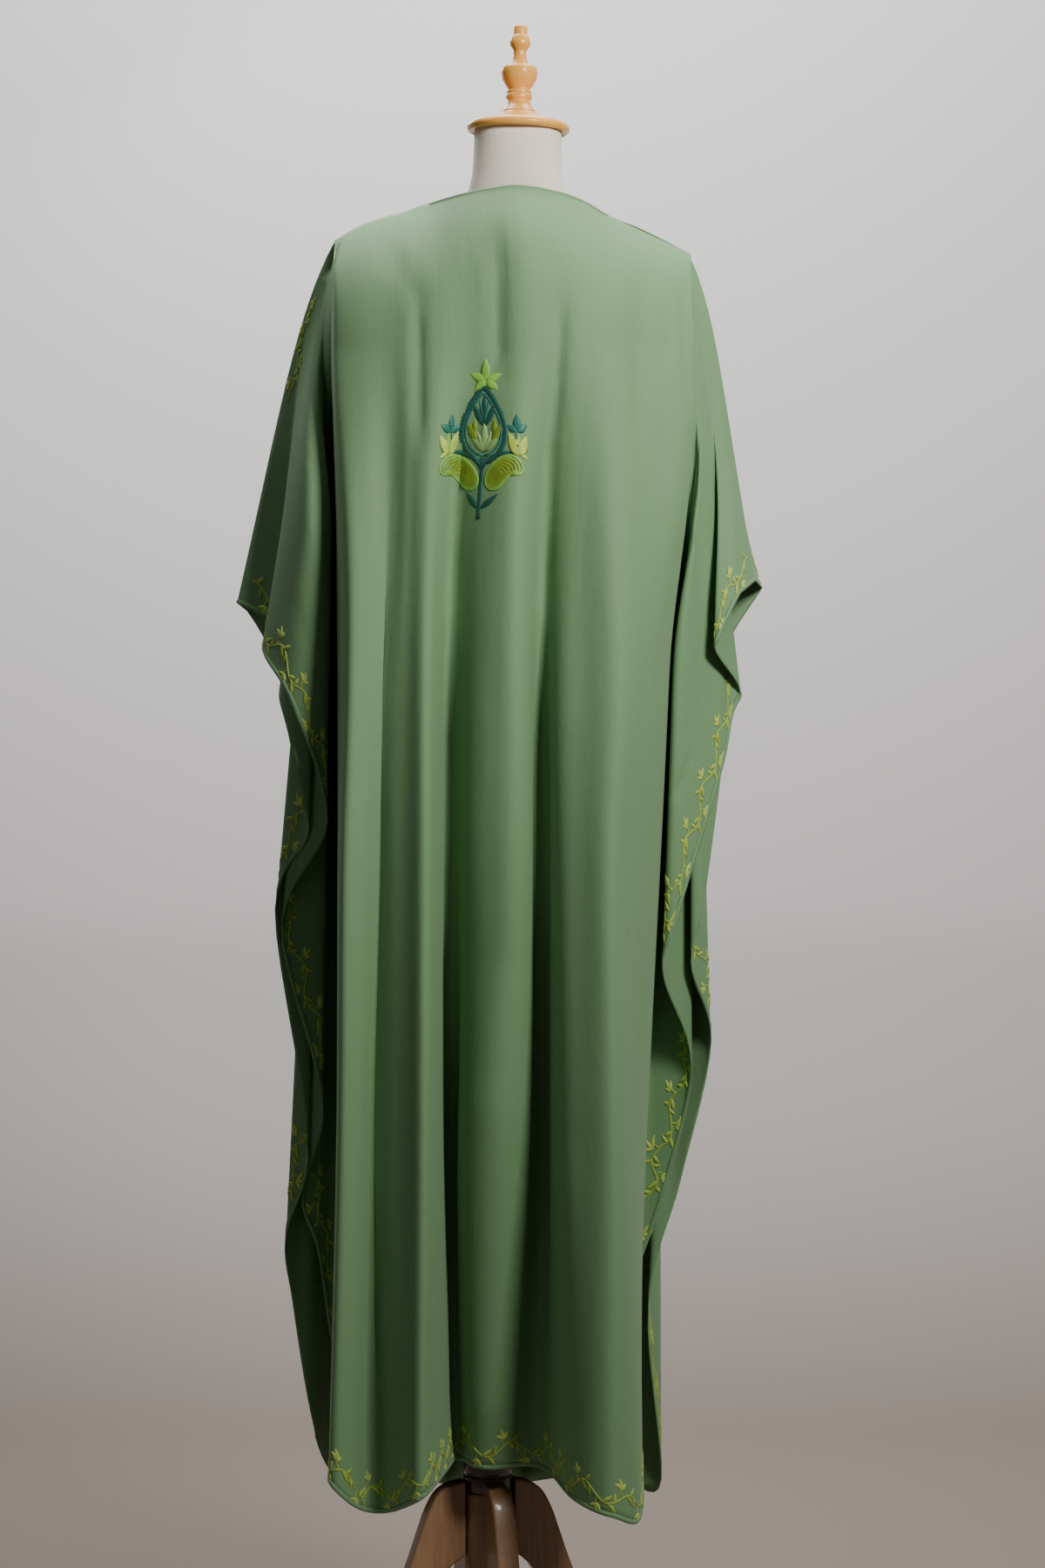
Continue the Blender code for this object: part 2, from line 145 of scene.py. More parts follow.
ROUNDED_RAYS = 40.0
# A wing's folds open between these distances from the shoulder tip, the small ones lower down.
FOLDS_OPEN = {LEFT: (0.05, 0.34), RIGHT: (0.13, 0.46)}
SMALL_FOLDS_OPEN = (0.28, 0.58)
SMALL_FOLDS = ("second_left", "second_right", "third_left", "tip", "wrap_left", "wrap_turn", "wrap_right")
SHOULDER_ROUND = 0.09

# The body hangs in upright folds. top: x, z and depth where the fold meets the shoulder or the neck.
# x and depth: at the heights of FOLD_HEIGHTS, in mm. hem: height of the hem there, in mm.
FOLD_HEIGHTS = (1470, 1260, 1090, 900, 615, 235)
BACK_FOLDS = (
    ("ridge_a", (166, 1588, 0), (165, 154, 154, 160, 163, 173), (95, 140, 160, 180, 190, 198), 234),
    ("slope_a", (142, 1602, 0), (138, 133, 135, 138, 142, 148), (112, 142, 158, 175, 186, 198), 208),
    ("valley_1", (115, 1612, 0), (106, 110, 114, 116, 122, 124), (122, 128, 134, 140, 146, 158), 200),
    ("fold_k", (92, 1618, 0), (84, 89, 92, 94, 96, 97), (130, 142, 154, 165, 176, 184), 203),
    ("ridge_b", (66, 1627, 0), (57, 64, 67, 67, 66, 67), (136, 156, 180, 198, 212, 214), 219),
    ("valley_2", (22, 1640, 44), (16, 36, 40, 42, 41, 33), (134, 121, 118, 116, 66, 36), 257),
    ("ridge_c", (-28, 1648, 58), (-36, -26, -22, -20, -10, 2), (146, 160, 168, 164, 124, 62), 250),
    ("valley_3", (-76, 1641, 44), (-73, -61, -59, -61, -59, -58), (140, 124, 119, 116, 90, 52), 249),
    ("slope_d", (-106, 1630, 20), (-104, -96, -92, -92, -92, -94), (137, 140, 150, 160, 170, 176), 214),
    ("ridge_d", (-133, 1614, 0), (-140, -140, -140, -132, -136, -136), (122, 152, 172, 188, 204, 216), 195),
    ("edge_d", (-180, 1592, 0), (-178, -180, -168, -155, -158, -168), (84, 112, 138, 152, 162, 170), 200),
)
FRONT_FOLDS = (
    ("side_left", (160, 1591, 0), (160, 150, 148, 152, 155, 160),
     (-60, -62, -70, -82, -90, -96), 236),
    ("ridge_1", (126, 1607, 0), (112, 108, 112, 116, 120, 124),
     (-118, -136, -158, -176, -190, -200), 232),
    ("valley_1", (92, 1618, 0), (70, 72, 74, 76, 78, 80),
     (-126, -122, -120, -124, -126, -128), 236),
    ("ridge_2", (66, 1626, 0), (38, 36, 36, 38, 40, 42),
     (-140, -154, -170, -184, -194, -202), 232),
    ("valley_2", (20, 1556, -80), (2, 0, -2, -2, 0, 2),
     (-140, -128, -122, -122, -104, -96), 238),
    ("ridge_3", (-34, 1476, -128), (-34, -36, -38, -38, -40, -40),
     (-128, -150, -168, -182, -190, -196), 234),
    ("valley_3", (-88, 1550, -80), (-74, -74, -74, -74, -76, -78),
     (-140, -126, -120, -122, -112, -108), 238),
    ("ridge_4", (-133, 1613, 0), (-112, -110, -110, -112, -116, -120),
     (-132, -150, -170, -186, -196, -204), 232),
    ("valley_4", (-160, 1603, 0), (-146, -142, -142, -144, -146, -150),
     (-104, -108, -112, -120, -124, -128), 236),
    ("side_right", (-196, 1586, 0), (-186, -184, -182, -184, -186, -188),
     (-58, -66, -78, -88, -96, -100), 236),
)
SETTLE_X = 0.05
SETTLE_DEPTH = 0.042
CORNER_FADE = 0.10

# Small creases of the outer face: from and to as x and z seen from behind, width and lift, all in mm.
CREASES = (
    ("flap_upper", (-230, 1272), (-204, 1229), 6, -2.0),
    ("flap_lower", (-218, 1014), (-202, 973), 6, -2.0),
    ("fold_k_edge", (88, 1480), (92, 300), 4, 1.4),
    ("fold_k_lift", (95, 1250), (97, 180), 10, 6.0),
    ("ridge_c_low", (-8, 800), (3, 160), 26, 14.0),
    ("collar_v_left", (-14, 1672), (10, 1560), 12, -1.0),
    ("wedge_middle", (-10, 1610), (-12, 1420), 8, -7.0),
    ("wedge_left", (76, 1540), (74, 1350), 8, -4.5),
    ("wedge_right", (-82, 1530), (-72, 1370), 7, -5.0),
    ("shoulder_left", (120, 1596), (60, 1500), 14, -1.6),
    ("upper_dip", (-163, 1560), (-166, 1340), 10, -2.2),
    ("upper_rise", (-181, 1540), (-182, 1350), 9, 1.8),
    ("flap_long", (-206, 1420), (-216, 1040), 10, 1.8),
    ("valley_2_top", (30, 1420), (40, 1180), 8, -7.0),
    ("valley_2_long", (41, 1250), (38, 420), 8, -11.0),
    ("valley_2_slit", (40, 840), (34, 150), 6, -13.0),
    ("ridge_b_right", (56, 1300), (56, 330), 9, 3.0),
    ("ridge_c_left", (5, 1330), (17, 300), 16, 9.0),
    ("ridge_c_right", (-38, 1300), (-30, 300), 12, 6.0),
    ("valley_3_top", (-70, 1420), (-60, 1180), 8, -7.0),
    ("valley_3_long", (-60, 1250), (-58, 300), 8, -13.0),
    ("ridge_d_left", (-84, 1330), (-84, 300), 15, 8.0),
    ("valley_1_fill", (110, 1340), (121, 300), 18, 13.0),
    ("slit_left", (161, 1594), (177, 1545), 3, -4.0),
    ("wing_line", (-213, 1550), (-224, 1390), 5, -4.5),
    ("wing_line_low", (-222, 1420), (-238, 1170), 5, -4.5),
    ("wing_fold", (-200, 1500), (-204, 1240), 7, 2.4),
)

# The form's rings: height, half width, half depth, in mm.
FORM_RINGS = (
    (872, 118, 84), (884, 134, 96), (920, 144, 103), (960, 146, 105), (1050, 134, 98), (1140, 114, 84),
    (1240, 124, 90), (1350, 146, 102), (1440, 160, 98), (1500, 168, 80), (1540, 172, 60),
    (1562, 171, 46), (1575, 161, 27), (1586.5, 154, 15), (1597.5, 142, 7), (1607, 120, 9),
    (1613, 96, 22), (1620, 72, 38), (1634, 56, 44), (1650, 51, 46), (1660, 49, 46.5),
    (1707, 47.5, 46.5),
)
FORM_SQUARENESS = 2.3
FORM_SIDES = 72
RING_STEPS = 4
LINEN_PER_RADIAN = 0.06

NECK_TOP_Z = 1.707
SEAT_GAP = 0.0003
# Turned profiles, from the top down the outer side: radius and height over the piece's foot, in mm.
CAP_PROFILE = (
    (0, 20.2), (20.2, 20.2), (22.4, 17.6), (30, 14.0), (42, 10.8), (48, 9.8), (52, 8.8), (55.2, 6.2),
    (56.4, 3.0), (55.6, 0.2), (53.6, -1.8), (52, -1.8), (51, -0.8), (50.8, 0), (0, 0),
)
FINIAL_PROFILE = (
    (0, 116), (5.6, 115.6), (7.6, 113.6), (7.8, 105), (9.6, 103), (11.4, 97.5), (11.2, 94), (8.6, 90),
    (6.9, 87.4), (7.0, 83), (8.2, 77), (11.0, 71.2), (17.4, 70.6), (19.2, 68.4), (20.0, 63.6),
    (18.6, 56), (14.6, 49), (12.2, 46), (12.2, 44.4), (13.6, 43.6), (13.8, 41.4), (12.8, 40.6),
    (14.2, 39), (14.6, 36.4), (13.2, 34.6), (12.2, 33.4), (14.0, 28), (17.4, 23.6), (19.4, 21.6),
    (19.6, 20.5), (0, 20.5),
)
HUB_PROFILE = (
    (0, 38), (16, 38), (22, 37.4), (25.4, 35.4), (26.8, 32), (26.8, 22), (26.0, 20.6), (26.0, 18.8),
    (26.8, 17.4), (26.8, 6), (26.2, 2), (25.2, 0), (0, 0),
)
COLUMN_PROFILE = (
    (0, 163.7), (25.4, 163.7), (26.2, 162.6), (26.2, 12), (25.4, 6), (22, 1.6), (17, 0), (0, 0),
)
POLE_PROFILE = ((0, 609), (11.6, 609), (12.5, 608), (12.5, 1), (11.6, 0), (0, 0))
TURNING_STEPS = 96
TURNED_EDGE = 0.0005
TURNED_MERGE = 0.00003
HUB_BOTTOM_Z = 0.224
COLUMN_BOTTOM_Z = 0.060
POLE_BOTTOM_Z = 0.2626
LEG_THICKNESS = 0.024
LEG_BEVEL = 0.0026
LEG_HEADINGS = (-16.0, 74.0, 164.0, 254.0)
LEG_ROOT = 0.0272
LEG_STEPS = 4
# A leg's board: distance from the post and height, in mm, round its outline.
LEG_OUTLINE = (
    (0, 238), (18, 234), (32, 224), (43, 204), (51, 182), (66, 140), (86, 96), (112, 58), (142, 34),
    (172, 22), (178, 12), (176, 0), (132, 0), (112, 12), (88, 34), (62, 70), (40, 108), (20, 142),
    (0, 158),
)

# Embroidered border: a waving stem with buds and leaves, this far in from side edges and hem, in mm.
BORDER = {"middle": 22.0, "wave": 62.0, "swing": 8.0, "step": 1.5, "stem": 2.7}
BORDER_END = 0.012
# Chain stitches narrow to this share of their width between two links.
CHAIN = {"vine": 0.66, "stem": 0.7, "paisley": 0.8}
STALK_TURN = 56
GROWTH_STEPS = 8
STEM_HEIGHT = 0.0007
STALK_HEIGHT = 0.0006
PETAL_LOW = 0.0003
PETAL_RISE = 0.0007
# The cloth between two lines this far apart shows how much it stretches, up to the most that is eased.
PROBE = 0.002
MOST_STRETCH = 4.0
# A thread is a low ridge: share of its half width aside and of its height up, and how deep it is rooted.
RIDGE = ((-1, 0), (-0.6, 0.75), (0, 1), (0.6, 0.75), (1, 0))
RIDGE_SIDES = len(RIDGE) + 1
THREAD_ROOT = 0.0002
# What grows from half a wave of the stem, mirrored in the next half. Each has the share of the wave,
# degrees off the stem, reach, length and width in mm.
BORDER_GROWTH = (
    ("bud_stalk", 0.06, 56, 0.0, 8.0, 1.9),
    ("bud_petal", 0.06, 20, 8.0, 11.0, 4.6),
    ("bud_petal", 0.06, 56, 8.0, 13.0, 5.0),
    ("bud_petal", 0.06, 92, 8.0, 11.0, 4.6),
    ("leaf", 0.17, -48, 0.5, 13.0, 5.0),
    ("leaf", 0.27, 42, 0.5, 12.0, 4.6),
    ("leaf", 0.37, -40, 0.5, 11.0, 4.4),
)
# The vine beside the left shoulder: where it starts below the shoulder tip and its length in metres, how
# far across from the sleeve's edge in rays, and the cloth between two rays there.
SPRAY = {"start": 0.070, "length": 0.112, "across": 0.66, "ray_gap": 0.038}
HEM_ROLL = {"in": 0.0024, "half_width": 0.0026, "height": 0.0011}
STITCH = {"start": 0.001, "pitch": 0.0034, "length": 0.0026, "width": 0.0007, "height": 0.0004}
STITCH_RISE = (0.2, 1.0, 1.0, 0.2)
HEM_STITCH_IN = 0.0058
NECK_STITCH_IN = 0.0080
NECK_ROLL = {"in": 0.0022, "half_width": 0.0024, "height": 0.0010, "ends": 0.08}
NECK_STEPS = 120
NECK_PROBE = 0.02
# The folds between which each neck edge runs.
NECKS = {"back": ("ridge_b", "ridge_d"), "front": ("ridge_2", "ridge_4")}

# The motif at the centre of the back: petals and leaves, by part and thread. Each has x to the photo's
# right and z up from the motif's middle in mm, degrees from upright to the right, length and width in mm.
MOTIF_MIDDLE = (0.0066, 1.371)
MOTIF_PETALS = (
    ("flower", "pale_green", (
        (4.5, 62, 0, 27, 11.0), (4.5, 64, -66, 19, 10.5), (4.5, 64, 68, 19, 10.5),
        (4.5, 65, -136, 18, 10.5), (4.5, 65, 130, 18, 10.5),
    )),
    ("fan", "deep_teal", ((3, 14, 0, 38, 8.0), (2, 14, -24, 31, 8.0), (4, 14, 24, 31, 8.0))),
    ("fan", "teal", ((3, 18, -12, 26, 4.0), (3, 18, 12, 26, 4.0))),
    ("curl", "olive", (
        (-5, -3, -28, 25, 10.0), (11, -3, 28, 25, 10.0), (-8, 6, 2, 17, 7.0), (14, 6, -2, 17, 7.0),
    )),
    ("tulip", "sage", ((3, -14, -40, 24, 9.0), (3, -14, 40, 24, 9.0))),
    ("tulip", "pale_sage", ((3, -15, 0, 37, 9.0), (3, -15, -18, 26, 6.0), (3, -15, 18, 26, 6.0))),
    ("stem_leaf", "deep_teal", ((-4, -76, -35, 23, 7.5), (-2, -76, 50, 27, 7.5))),
    ("stem_leaf", "teal", ((-1, -28, -38, 17, 6.0), (1, -28, 38, 17, 6.0))),
    ("side_tulip", "cream", ((-36, -18, -22, 25, 13.0), (-35, -18, 20, 29, 13.0))),
    ("side_tulip", "pale_green", ((-36, -16, -1, 24, 7.0),)),
    ("side_tulip", "cream", ((41, -19, 20, 24, 13.0), (41, -19, -24, 29, 13.0))),
    ("side_tulip", "pale_green", ((41, -17, -2, 24, 7.0),)),
    ("side_foot", "cream", ((-38, -15, 235, 10, 5.0), (43, -16, 130, 10, 5.0))),
    ("side_flower", "teal", (
        (-33, 8, -55, 14, 9.0), (-33, 9, 4, 19, 9.0), (-33, 8, 56, 13, 8.0), (38, 8, -52, 13, 8.0),
        (38, 9, 0, 19, 9.0), (38, 8, 58, 14, 9.0),
    )),
)
# Curved stems: start, bend and end, as x and z from the motif's middle in mm, and width in mm.
MOTIF_STEMS = (
    ("stalk", (1, -20), (-1, -48), (-4, -87), 6.4, "deep_teal"),
    ("left_branch", (-1, -31), (-8, -13), (-31, -15), 7.0, "deep_teal"),
    ("right_branch", (0, -31), (10, -13), (34, -16), 7.0, "deep_teal"),
    ("left_rise", (-29, -14), (-33, -4), (-33, 10), 2.4, "teal"),
    ("right_rise", (32, -15), (37, -4), (38, 10), 2.4, "teal"),
)
OVAL = {"foot": (2, -25), "height": 82.0, "half_width": 23.5}
OVAL_RINGS = ((1.0, 7.4, "deep_teal"), (0.83, 3.2, "teal"))
OVAL_STEPS = 90
BRANCH_STEPS = 26
PAISLEY_STEPS = 72
PAISLEY_HEIGHT = 0.0008
# A paisley's outline from its curled tip round the body, in mm from the motif's middle, and its middle.
PAISLEY = (
    (-39.8, -38.4), (-43.6, -37.4), (-45.5, -32.7), (-43.6, -26.0), (-38.8, -20.3), (-31.2, -17.4),
    (-22.7, -19.3), (-14.1, -26.0), (-7.4, -34.6), (-4.6, -44.1), (-6.5, -51.7), (-12.2, -55.0),
    (-18.8, -52.6), (-25.5, -45.0), (-32.2, -38.4), (-37.9, -34.5),
)
PAISLEY_MIDDLE = (-17.5, -38.5)
PAISLEY_MIRROR = -0.6
# Rings that fill a paisley: share of the outline's size, thread width in mm, thread.
PAISLEY_RINGS = (
    (1.0, 3.6, "pale_green"), (0.87, 3.8, "leaf_green"), (0.74, 4.6, "olive"), (0.60, 4.8, "olive"),
    (0.46, 5.0, "olive"), (0.32, 5.2, "olive"), (0.17, 6.0, "olive"),
)

THREADS = {
    "vine": (0.370, 0.500, 0.065),
    "bud": (0.460, 0.590, 0.110),
    "pale_green": (0.230, 0.530, 0.060),
    "leaf_green": (0.200, 0.400, 0.050),
    "teal": (0.014, 0.170, 0.125),
    "deep_teal": (0.008, 0.090, 0.070),
    "olive": (0.190, 0.300, 0.015),
    "sage": (0.240, 0.430, 0.140),
    "pale_sage": (0.300, 0.540, 0.180),
    "cream": (0.480, 0.640, 0.085),
    "seam": (0.130, 0.270, 0.110),
}
CLOTH_COLOUR = (0.162, 0.310, 0.144)
LINEN_COLOUR = (0.920, 0.840, 0.720)
STEEL_COLOUR = (0.45, 0.45, 0.45)
# Varnished woods: dark and light grain, roughness and coat.
WOODS = {
    "honey": ((0.78, 0.33, 0.050), (0.98, 0.52, 0.110), 0.30, 0.4),
    "leg": ((0.20, 0.098, 0.045), (0.52, 0.31, 0.165), 0.42, 0.25),
    "dark": ((0.022, 0.008, 0.005), (0.085, 0.032, 0.018), 0.25, 0.6),
}
WALL_COLOUR = (0.640, 0.635, 0.640)
FLOOR_COLOUR = (0.225, 0.190, 0.165)
AIR_COLOUR = (0.80, 0.85, 0.95, 1.0)
AIR_STRENGTH = 0.022
BACKDROP_COLOUR = (0.50, 0.495, 0.49, 1.0)
ROOM = {"front": 3.2, "wall": -2.3, "corner": 0.7, "height": 4.5, "half_width": 5.0, "shade_height": 0.8}
# Lights: name, place, target, size, power and colour.
LIGHTS = (
    ("key", (-0.95, 1.38, 2.18), (0.0, 0.0, 1.36), 0.45, 43.0, (1.0, 0.97, 0.93)),
    ("fill", (2.1, 2.4, 1.4), (0.0, 0.0, 0.9), 1.4, 4.0, (0.96, 0.98, 1.0)),
    ("front", (0.9, -1.7, 2.75), (0.0, 0.0, 1.2), 0.9, 14.0, (1.0, 0.98, 0.96)),
    ("wall", (0.0, -0.75, 3.3), (0.0, -2.3, 1.7), 2.2, 120.0, (1.0, 0.98, 0.97)),
)


def in_space(x, depth, z):
    """The point that is seen from behind at x, z on the middle plane and lies depth behind that plane."""
    nearness = (EYE_DISTANCE - depth) / EYE_DISTANCE
    return Vector((EYE_X + (x - EYE_X) * nearness, depth, EYE_Z + (z - EYE_Z) * nearness))


def ease(value, start, end):
    """Rises smoothly from 0 at start to 1 at end."""
    share = min(max((value - start) / (end - start), 0.0), 1.0)
    return share * share * (3.0 - 2.0 * share)


def through(knots, values, at):
    """A smooth curve through the values at the knots, which may rise or fall; flat beyond the ends."""
    order = 1 if knots[-1] > knots[0] else -1
    knots = [order * knot for knot in knots]
    at = min(max(order * at, knots[0]), knots[-1])
    last = len(knots) - 1
    k = min(max(sum(knot <= at for knot in knots) - 1, 0), last - 1)
    span = knots[k + 1] - knots[k]

    def slope(i):
        low, high = max(i - 1, 0), min(i + 1, last)
        return (values[high] - values[low]) / (knots[high] - knots[low])

    s = (at - knots[k]) / span
    return (
        values[k] * (1 + 2 * s) * (1 - s) ** 2
        + slope(k) * span * s * (1 - s) ** 2
        + values[k + 1] * s * s * (3 - 2 * s)
        + slope(k + 1) * span * s * s * (s - 1)
    )


def ray_at(rays, index, reach):
    """How far out and how deep a ray lies at this reach. A small fold opens lower down."""
    name, cloth, out, depth = rays[index]
    if name not in SMALL_FOLDS:
        return out, depth
    low, high = index, index
    while rays[low][0] in SMALL_FOLDS:
        low -= 1
    while rays[high][0] in SMALL_FOLDS:
        high += 1
    share = (cloth - rays[low][1]) / (rays[high][1] - rays[low][1])
    grown = ease(reach, *SMALL_FOLDS_OPEN)
    flat_out = rays[low][2] + (rays[high][2] - rays[low][2]) * share
    flat_depth = rays[low][3] + (rays[high][3] - rays[low][3]) * share
    return flat_out + (out - flat_out) * grown, flat_depth + (depth - flat_depth) * grown


def ray_length(side, cloth):
    """How long a wing's ray is, at these degrees from the sleeve's top edge."""
    return np.minimum(SLEEVES[side] / np.cos(np.radians(cloth)), LONGEST_RAY)


def curved(before, here, there, after, s):
    """A smooth curve from here to there, at the share s of the way."""
    return 0.5 * (
        2 * here
        + (there - before) * s
        + (2 * before - 5 * here + 4 * there - after) * s * s
        + (3 * here - before - 3 * there + after) * s**3
    )


def wing_point(side, rays, index, depth_at_body, down):
    """A point of a wing, on the ray with this index, at the share down of that ray's length."""
    cloth = rays[index][1]
    shoulder_x, shoulder_z = SHOULDERS[side]
    reach = down * ray_length(side, cloth)
    out, depth = ray_at(rays, index, reach)
    even = index / len(rays)
    folded = ease(reach, *FOLDS_OPEN[side])
    even_out = rays[0][2] * (1.0 - even)
    swing = even_out + (out - even_out) * folded
    rounding, fade = SLEEVE_ROUNDING[side]
    swing += rounding * math.exp(-reach / fade) * max(1.0 - cloth / ROUNDED_RAYS, 0.0)
    even_depth = depth_at_body * even * (1.0 - math.exp(-reach / SHOULDER_ROUND))
    fold_depth = even_depth + (depth * MM - even_depth) * folded
    across = reach * math.sin(math.radians(swing))
    drop = math.sqrt(max(reach * reach - across * across - fold_depth * fold_depth, 0.0))
    return in_space(shoulder_x + side * across, fold_depth, shoulder_z - drop)


def body_point(fold, down):
    """A point of an upright fold, at the share down of its height."""
    _, (top_x, top_z, top_depth), xs, depths, hem = fold
    heights = FOLD_HEIGHTS[:-1] + (hem,)
    height = top_z + (hem - top_z) * down
    fallen = (top_z - height) * MM
    x = through(heights, xs, height)
    depth = through(heights, depths, height)
    x = top_x + (x - top_x) * (1.0 - math.exp(-fallen / SETTLE_X))
    depth = top_depth + (depth - top_depth) * (1.0 - math.exp(-fallen / SETTLE_DEPTH))
    return in_space(x * MM, depth * MM, height * MM)


def length_along(points):
    """How far along their line the points lie."""
    return np.append(0, np.cumsum(np.linalg.norm(np.diff(points, axis=0), axis=1)))


def crease_lift(x, z):
    """How far the creases lift the cloth that is seen at x, z, in metres, over whole arrays."""
    lift = np.zeros_like(x)
    for _, (x1, z1), (x2, z2), width, height in CREASES:
        along = np.array([x2 - x1, z2 - z1]) * MM
        length = np.hypot(*along)
        along /= length
        dx, dz = x - x1 * MM, z - z1 * MM
        share = (dx * along[0] + dz * along[1]) / length
        aside = dx * along[1] - dz * along[0]
        ends = np.clip(share * 4, 0, 1) * np.clip((1 - share) * 4, 0, 1)
        lift += height * MM * ends * np.exp(-((aside / (width * MM)) ** 2))
    return lift


class Panel:
    """One panel as a fine grid. across counts folds from the left edge, down runs from 0 to 1."""

    def __init__(self, left_rays, folds, right_rays, facing, creased=False, corners=()):
        self.facing = facing
        self.rays = {LEFT: left_rays, RIGHT: right_rays}
        self.left, self.right = len(left_rays), len(right_rays)
        self.count = self.left + len(folds) + self.right
        self.names = [fold[0] for fold in folds]
        self.corners = [self.column(name) for name in corners]
        downs = (np.arange(ROWS + 1) / ROWS) ** ROW_CROWDING
        self.sharpness = np.array([1.0 - ease(down, 0.0, CORNER_FADE) for down in downs])[:, None]
        knots = []
        for index in range(self.count):
            side, place = self.wing(index)
            if side:
                depth = folds[0 if side == LEFT else -1][3][0] * MM
                knots.append([wing_point(side, self.rays[side], place, depth, down) for down in downs])
            else:
                knots.append([body_point(folds[place], down) for down in downs])
        self.knots = np.array(knots)
        self.lengths = np.linalg.norm(np.diff(self.knots, axis=1), axis=2).sum(axis=1)
        steps = np.arange((self.count - 1) * STEPS_PER_FOLD + 1) / STEPS_PER_FOLD
        self.places = self.between(self.knots, steps)
        for edge in (self.places[:, 0], self.places[:, -1], self.places[0]):
            edge[:, 1] = facing * np.maximum(facing * edge[:, 1], SEAM_HALF_GAP)
        self.normals = self.outward()
        if creased:
            self.press_creases()
        self.places += self.normals * CLOTH_LIFT - np.array(ORIGIN)
        self.flat_grid = self.between(self.flat_places(downs), steps, straight=True)

    def column(self, name):
        return self.left + self.names.index(name)

    def wing(self, index):
        """The side and the ray of a column of knots. In the body, 0 and the fold."""
        if index < self.left:
            return LEFT, index
        if index >= self.count - self.right:
            return RIGHT, self.count - 1 - index
        return 0, index - self.left

    def flat_places(self, downs):
        """Where each knot lies in the flat cloth, in metres."""
        body = self.knots[self.left : self.count - self.right, ROWS // 2]
        widths = FLAT_FULLNESS * np.linalg.norm(np.diff(body, axis=0), axis=1)
        offsets = np.append(0.0, np.cumsum(widths))
        flat = np.zeros((self.count, ROWS + 1, 2))
        for index in range(self.count):
            side, place = self.wing(index)
            if side:
                cloth = self.rays[side][place][1]
                reach = downs * ray_length(side, cloth)
                edge = offsets[-1] if side == RIGHT else 0.0
                across = edge - side * reach * math.cos(math.radians(cloth))
                length = reach * math.sin(math.radians(cloth))
            else:
                across = offsets[place]
                length = downs * np.linalg.norm(self.knots[index, -1] - self.knots[index, 0])
            flat[index, :, 0], flat[index, :, 1] = across, -length
        return flat

    def between(self, knots, steps, straight=False):
        """A smooth curve across the knots at each row, sampled at the steps: rows of points."""
        rows = []
        for across in steps:
            k = min(int(across), self.count - 2)
            s = across - k
            here, there = knots[k], knots[k + 1]
            before = knots[max(k - 1, 0)]
            after = knots[min(k + 2, self.count - 1)]
            pairs = ((before, here), (here, there), (there, after))
            gaps = [np.linalg.norm(b - a, axis=1) for a, b in pairs]
            tight = (np.minimum.reduce(gaps) < SAME_POINT)[:, None]
            if straight:
                tight = np.ones_like(tight)
            before = np.where(tight, 2 * here - there, before)
            after = np.where(tight, 2 * there - here, after)
            if k in self.corners:
                before = before + (2 * here - there - before) * self.sharpness
            if k + 1 in self.corners:
                after = after + (2 * there - here - after) * self.sharpness
            rows.append(curved(before, here, there, after, s))
        return np.array(rows).transpose(1, 0, 2)

    def outward(self):
        sideways = np.gradient(self.places, axis=1)
        downwards = np.gradient(self.places, axis=0)
        downwards[0] = self.places[1] - self.places[0]
        normals = np.cross(downwards, sideways) * self.facing
        for tip in (self.places[0][0], self.places[0][-1]):
            at_tip = np.linalg.norm(self.places[0] - tip, axis=1) < SAME_POINT
            normals[0][at_tip] = normals[1][at_tip].sum(axis=0)
        lengths = np.linalg.norm(normals, axis=2, keepdims=True)
        return normals / np.maximum(lengths, TINY)

    def press_creases(self):
        nearness = (EYE_DISTANCE - self.places[..., 1]) / EYE_DISTANCE
        seen_x = EYE_X + (self.places[..., 0] - EYE_X) / nearness
        seen_z = EYE_Z + (self.places[..., 2] - EYE_Z) / nearness
        facing_eye = np.clip(self.normals[..., 1] * 2, 0, 1)
        self.places += self.normals * (crease_lift(seen_x, seen_z) * facing_eye)[..., None]
        self.normals = self.outward()

    def on_cloth(self, across, down):
        """Points and outward normals at arrays of across and down."""
        across, down = np.broadcast_arrays(across, down)
        column = np.clip(across * STEPS_PER_FOLD, 0, self.places.shape[1] - 1 - LAST_CELL)
        row = np.clip(ROWS * np.clip(down, 0, 1) ** (1 / ROW_CROWDING), 0, ROWS - LAST_CELL)
        c, r = column.astype(int), row.astype(int)
        cs, rs = (column - c)[:, None], (row - r)[:, None]

        def mixed(grid):
            upper = grid[r, c] * (1 - cs) + grid[r, c + 1] * cs
            lower = grid[r + 1, c] * (1 - cs) + grid[r + 1, c + 1] * cs
            return upper * (1 - rs) + lower * rs

        normals = mixed(self.normals)
        return mixed(self.places), normals / np.linalg.norm(normals, axis=1, keepdims=True)

    def side_place(self, side, drop, inwards):
        """Across and down of a wing's points, drop below its top edge and inwards of its side edge."""
        rays = self.rays[side]
        width = SLEEVES[side] - inwards
        cloth = np.degrees(np.arctan2(drop, width))
        index = np.interp(cloth, [ray[1] for ray in rays], range(len(rays)))
        across = index if side == LEFT else self.count - 1 - index
        return across, np.hypot(drop, width) / ray_length(side, cloth)

    def hem_place(self, share, inwards):
        """Across and down of points of the hem, at the share of the way between the wings' last rays."""
        across = self.left - 1 + share * (self.count - self.right - self.left + 1)
        low = np.clip(across.astype(int), 0, self.count - 2)
        part = across - low
        length = self.lengths[low] * (1 - part) + self.lengths[low + 1] * part
        return across, 1 - inwards / length

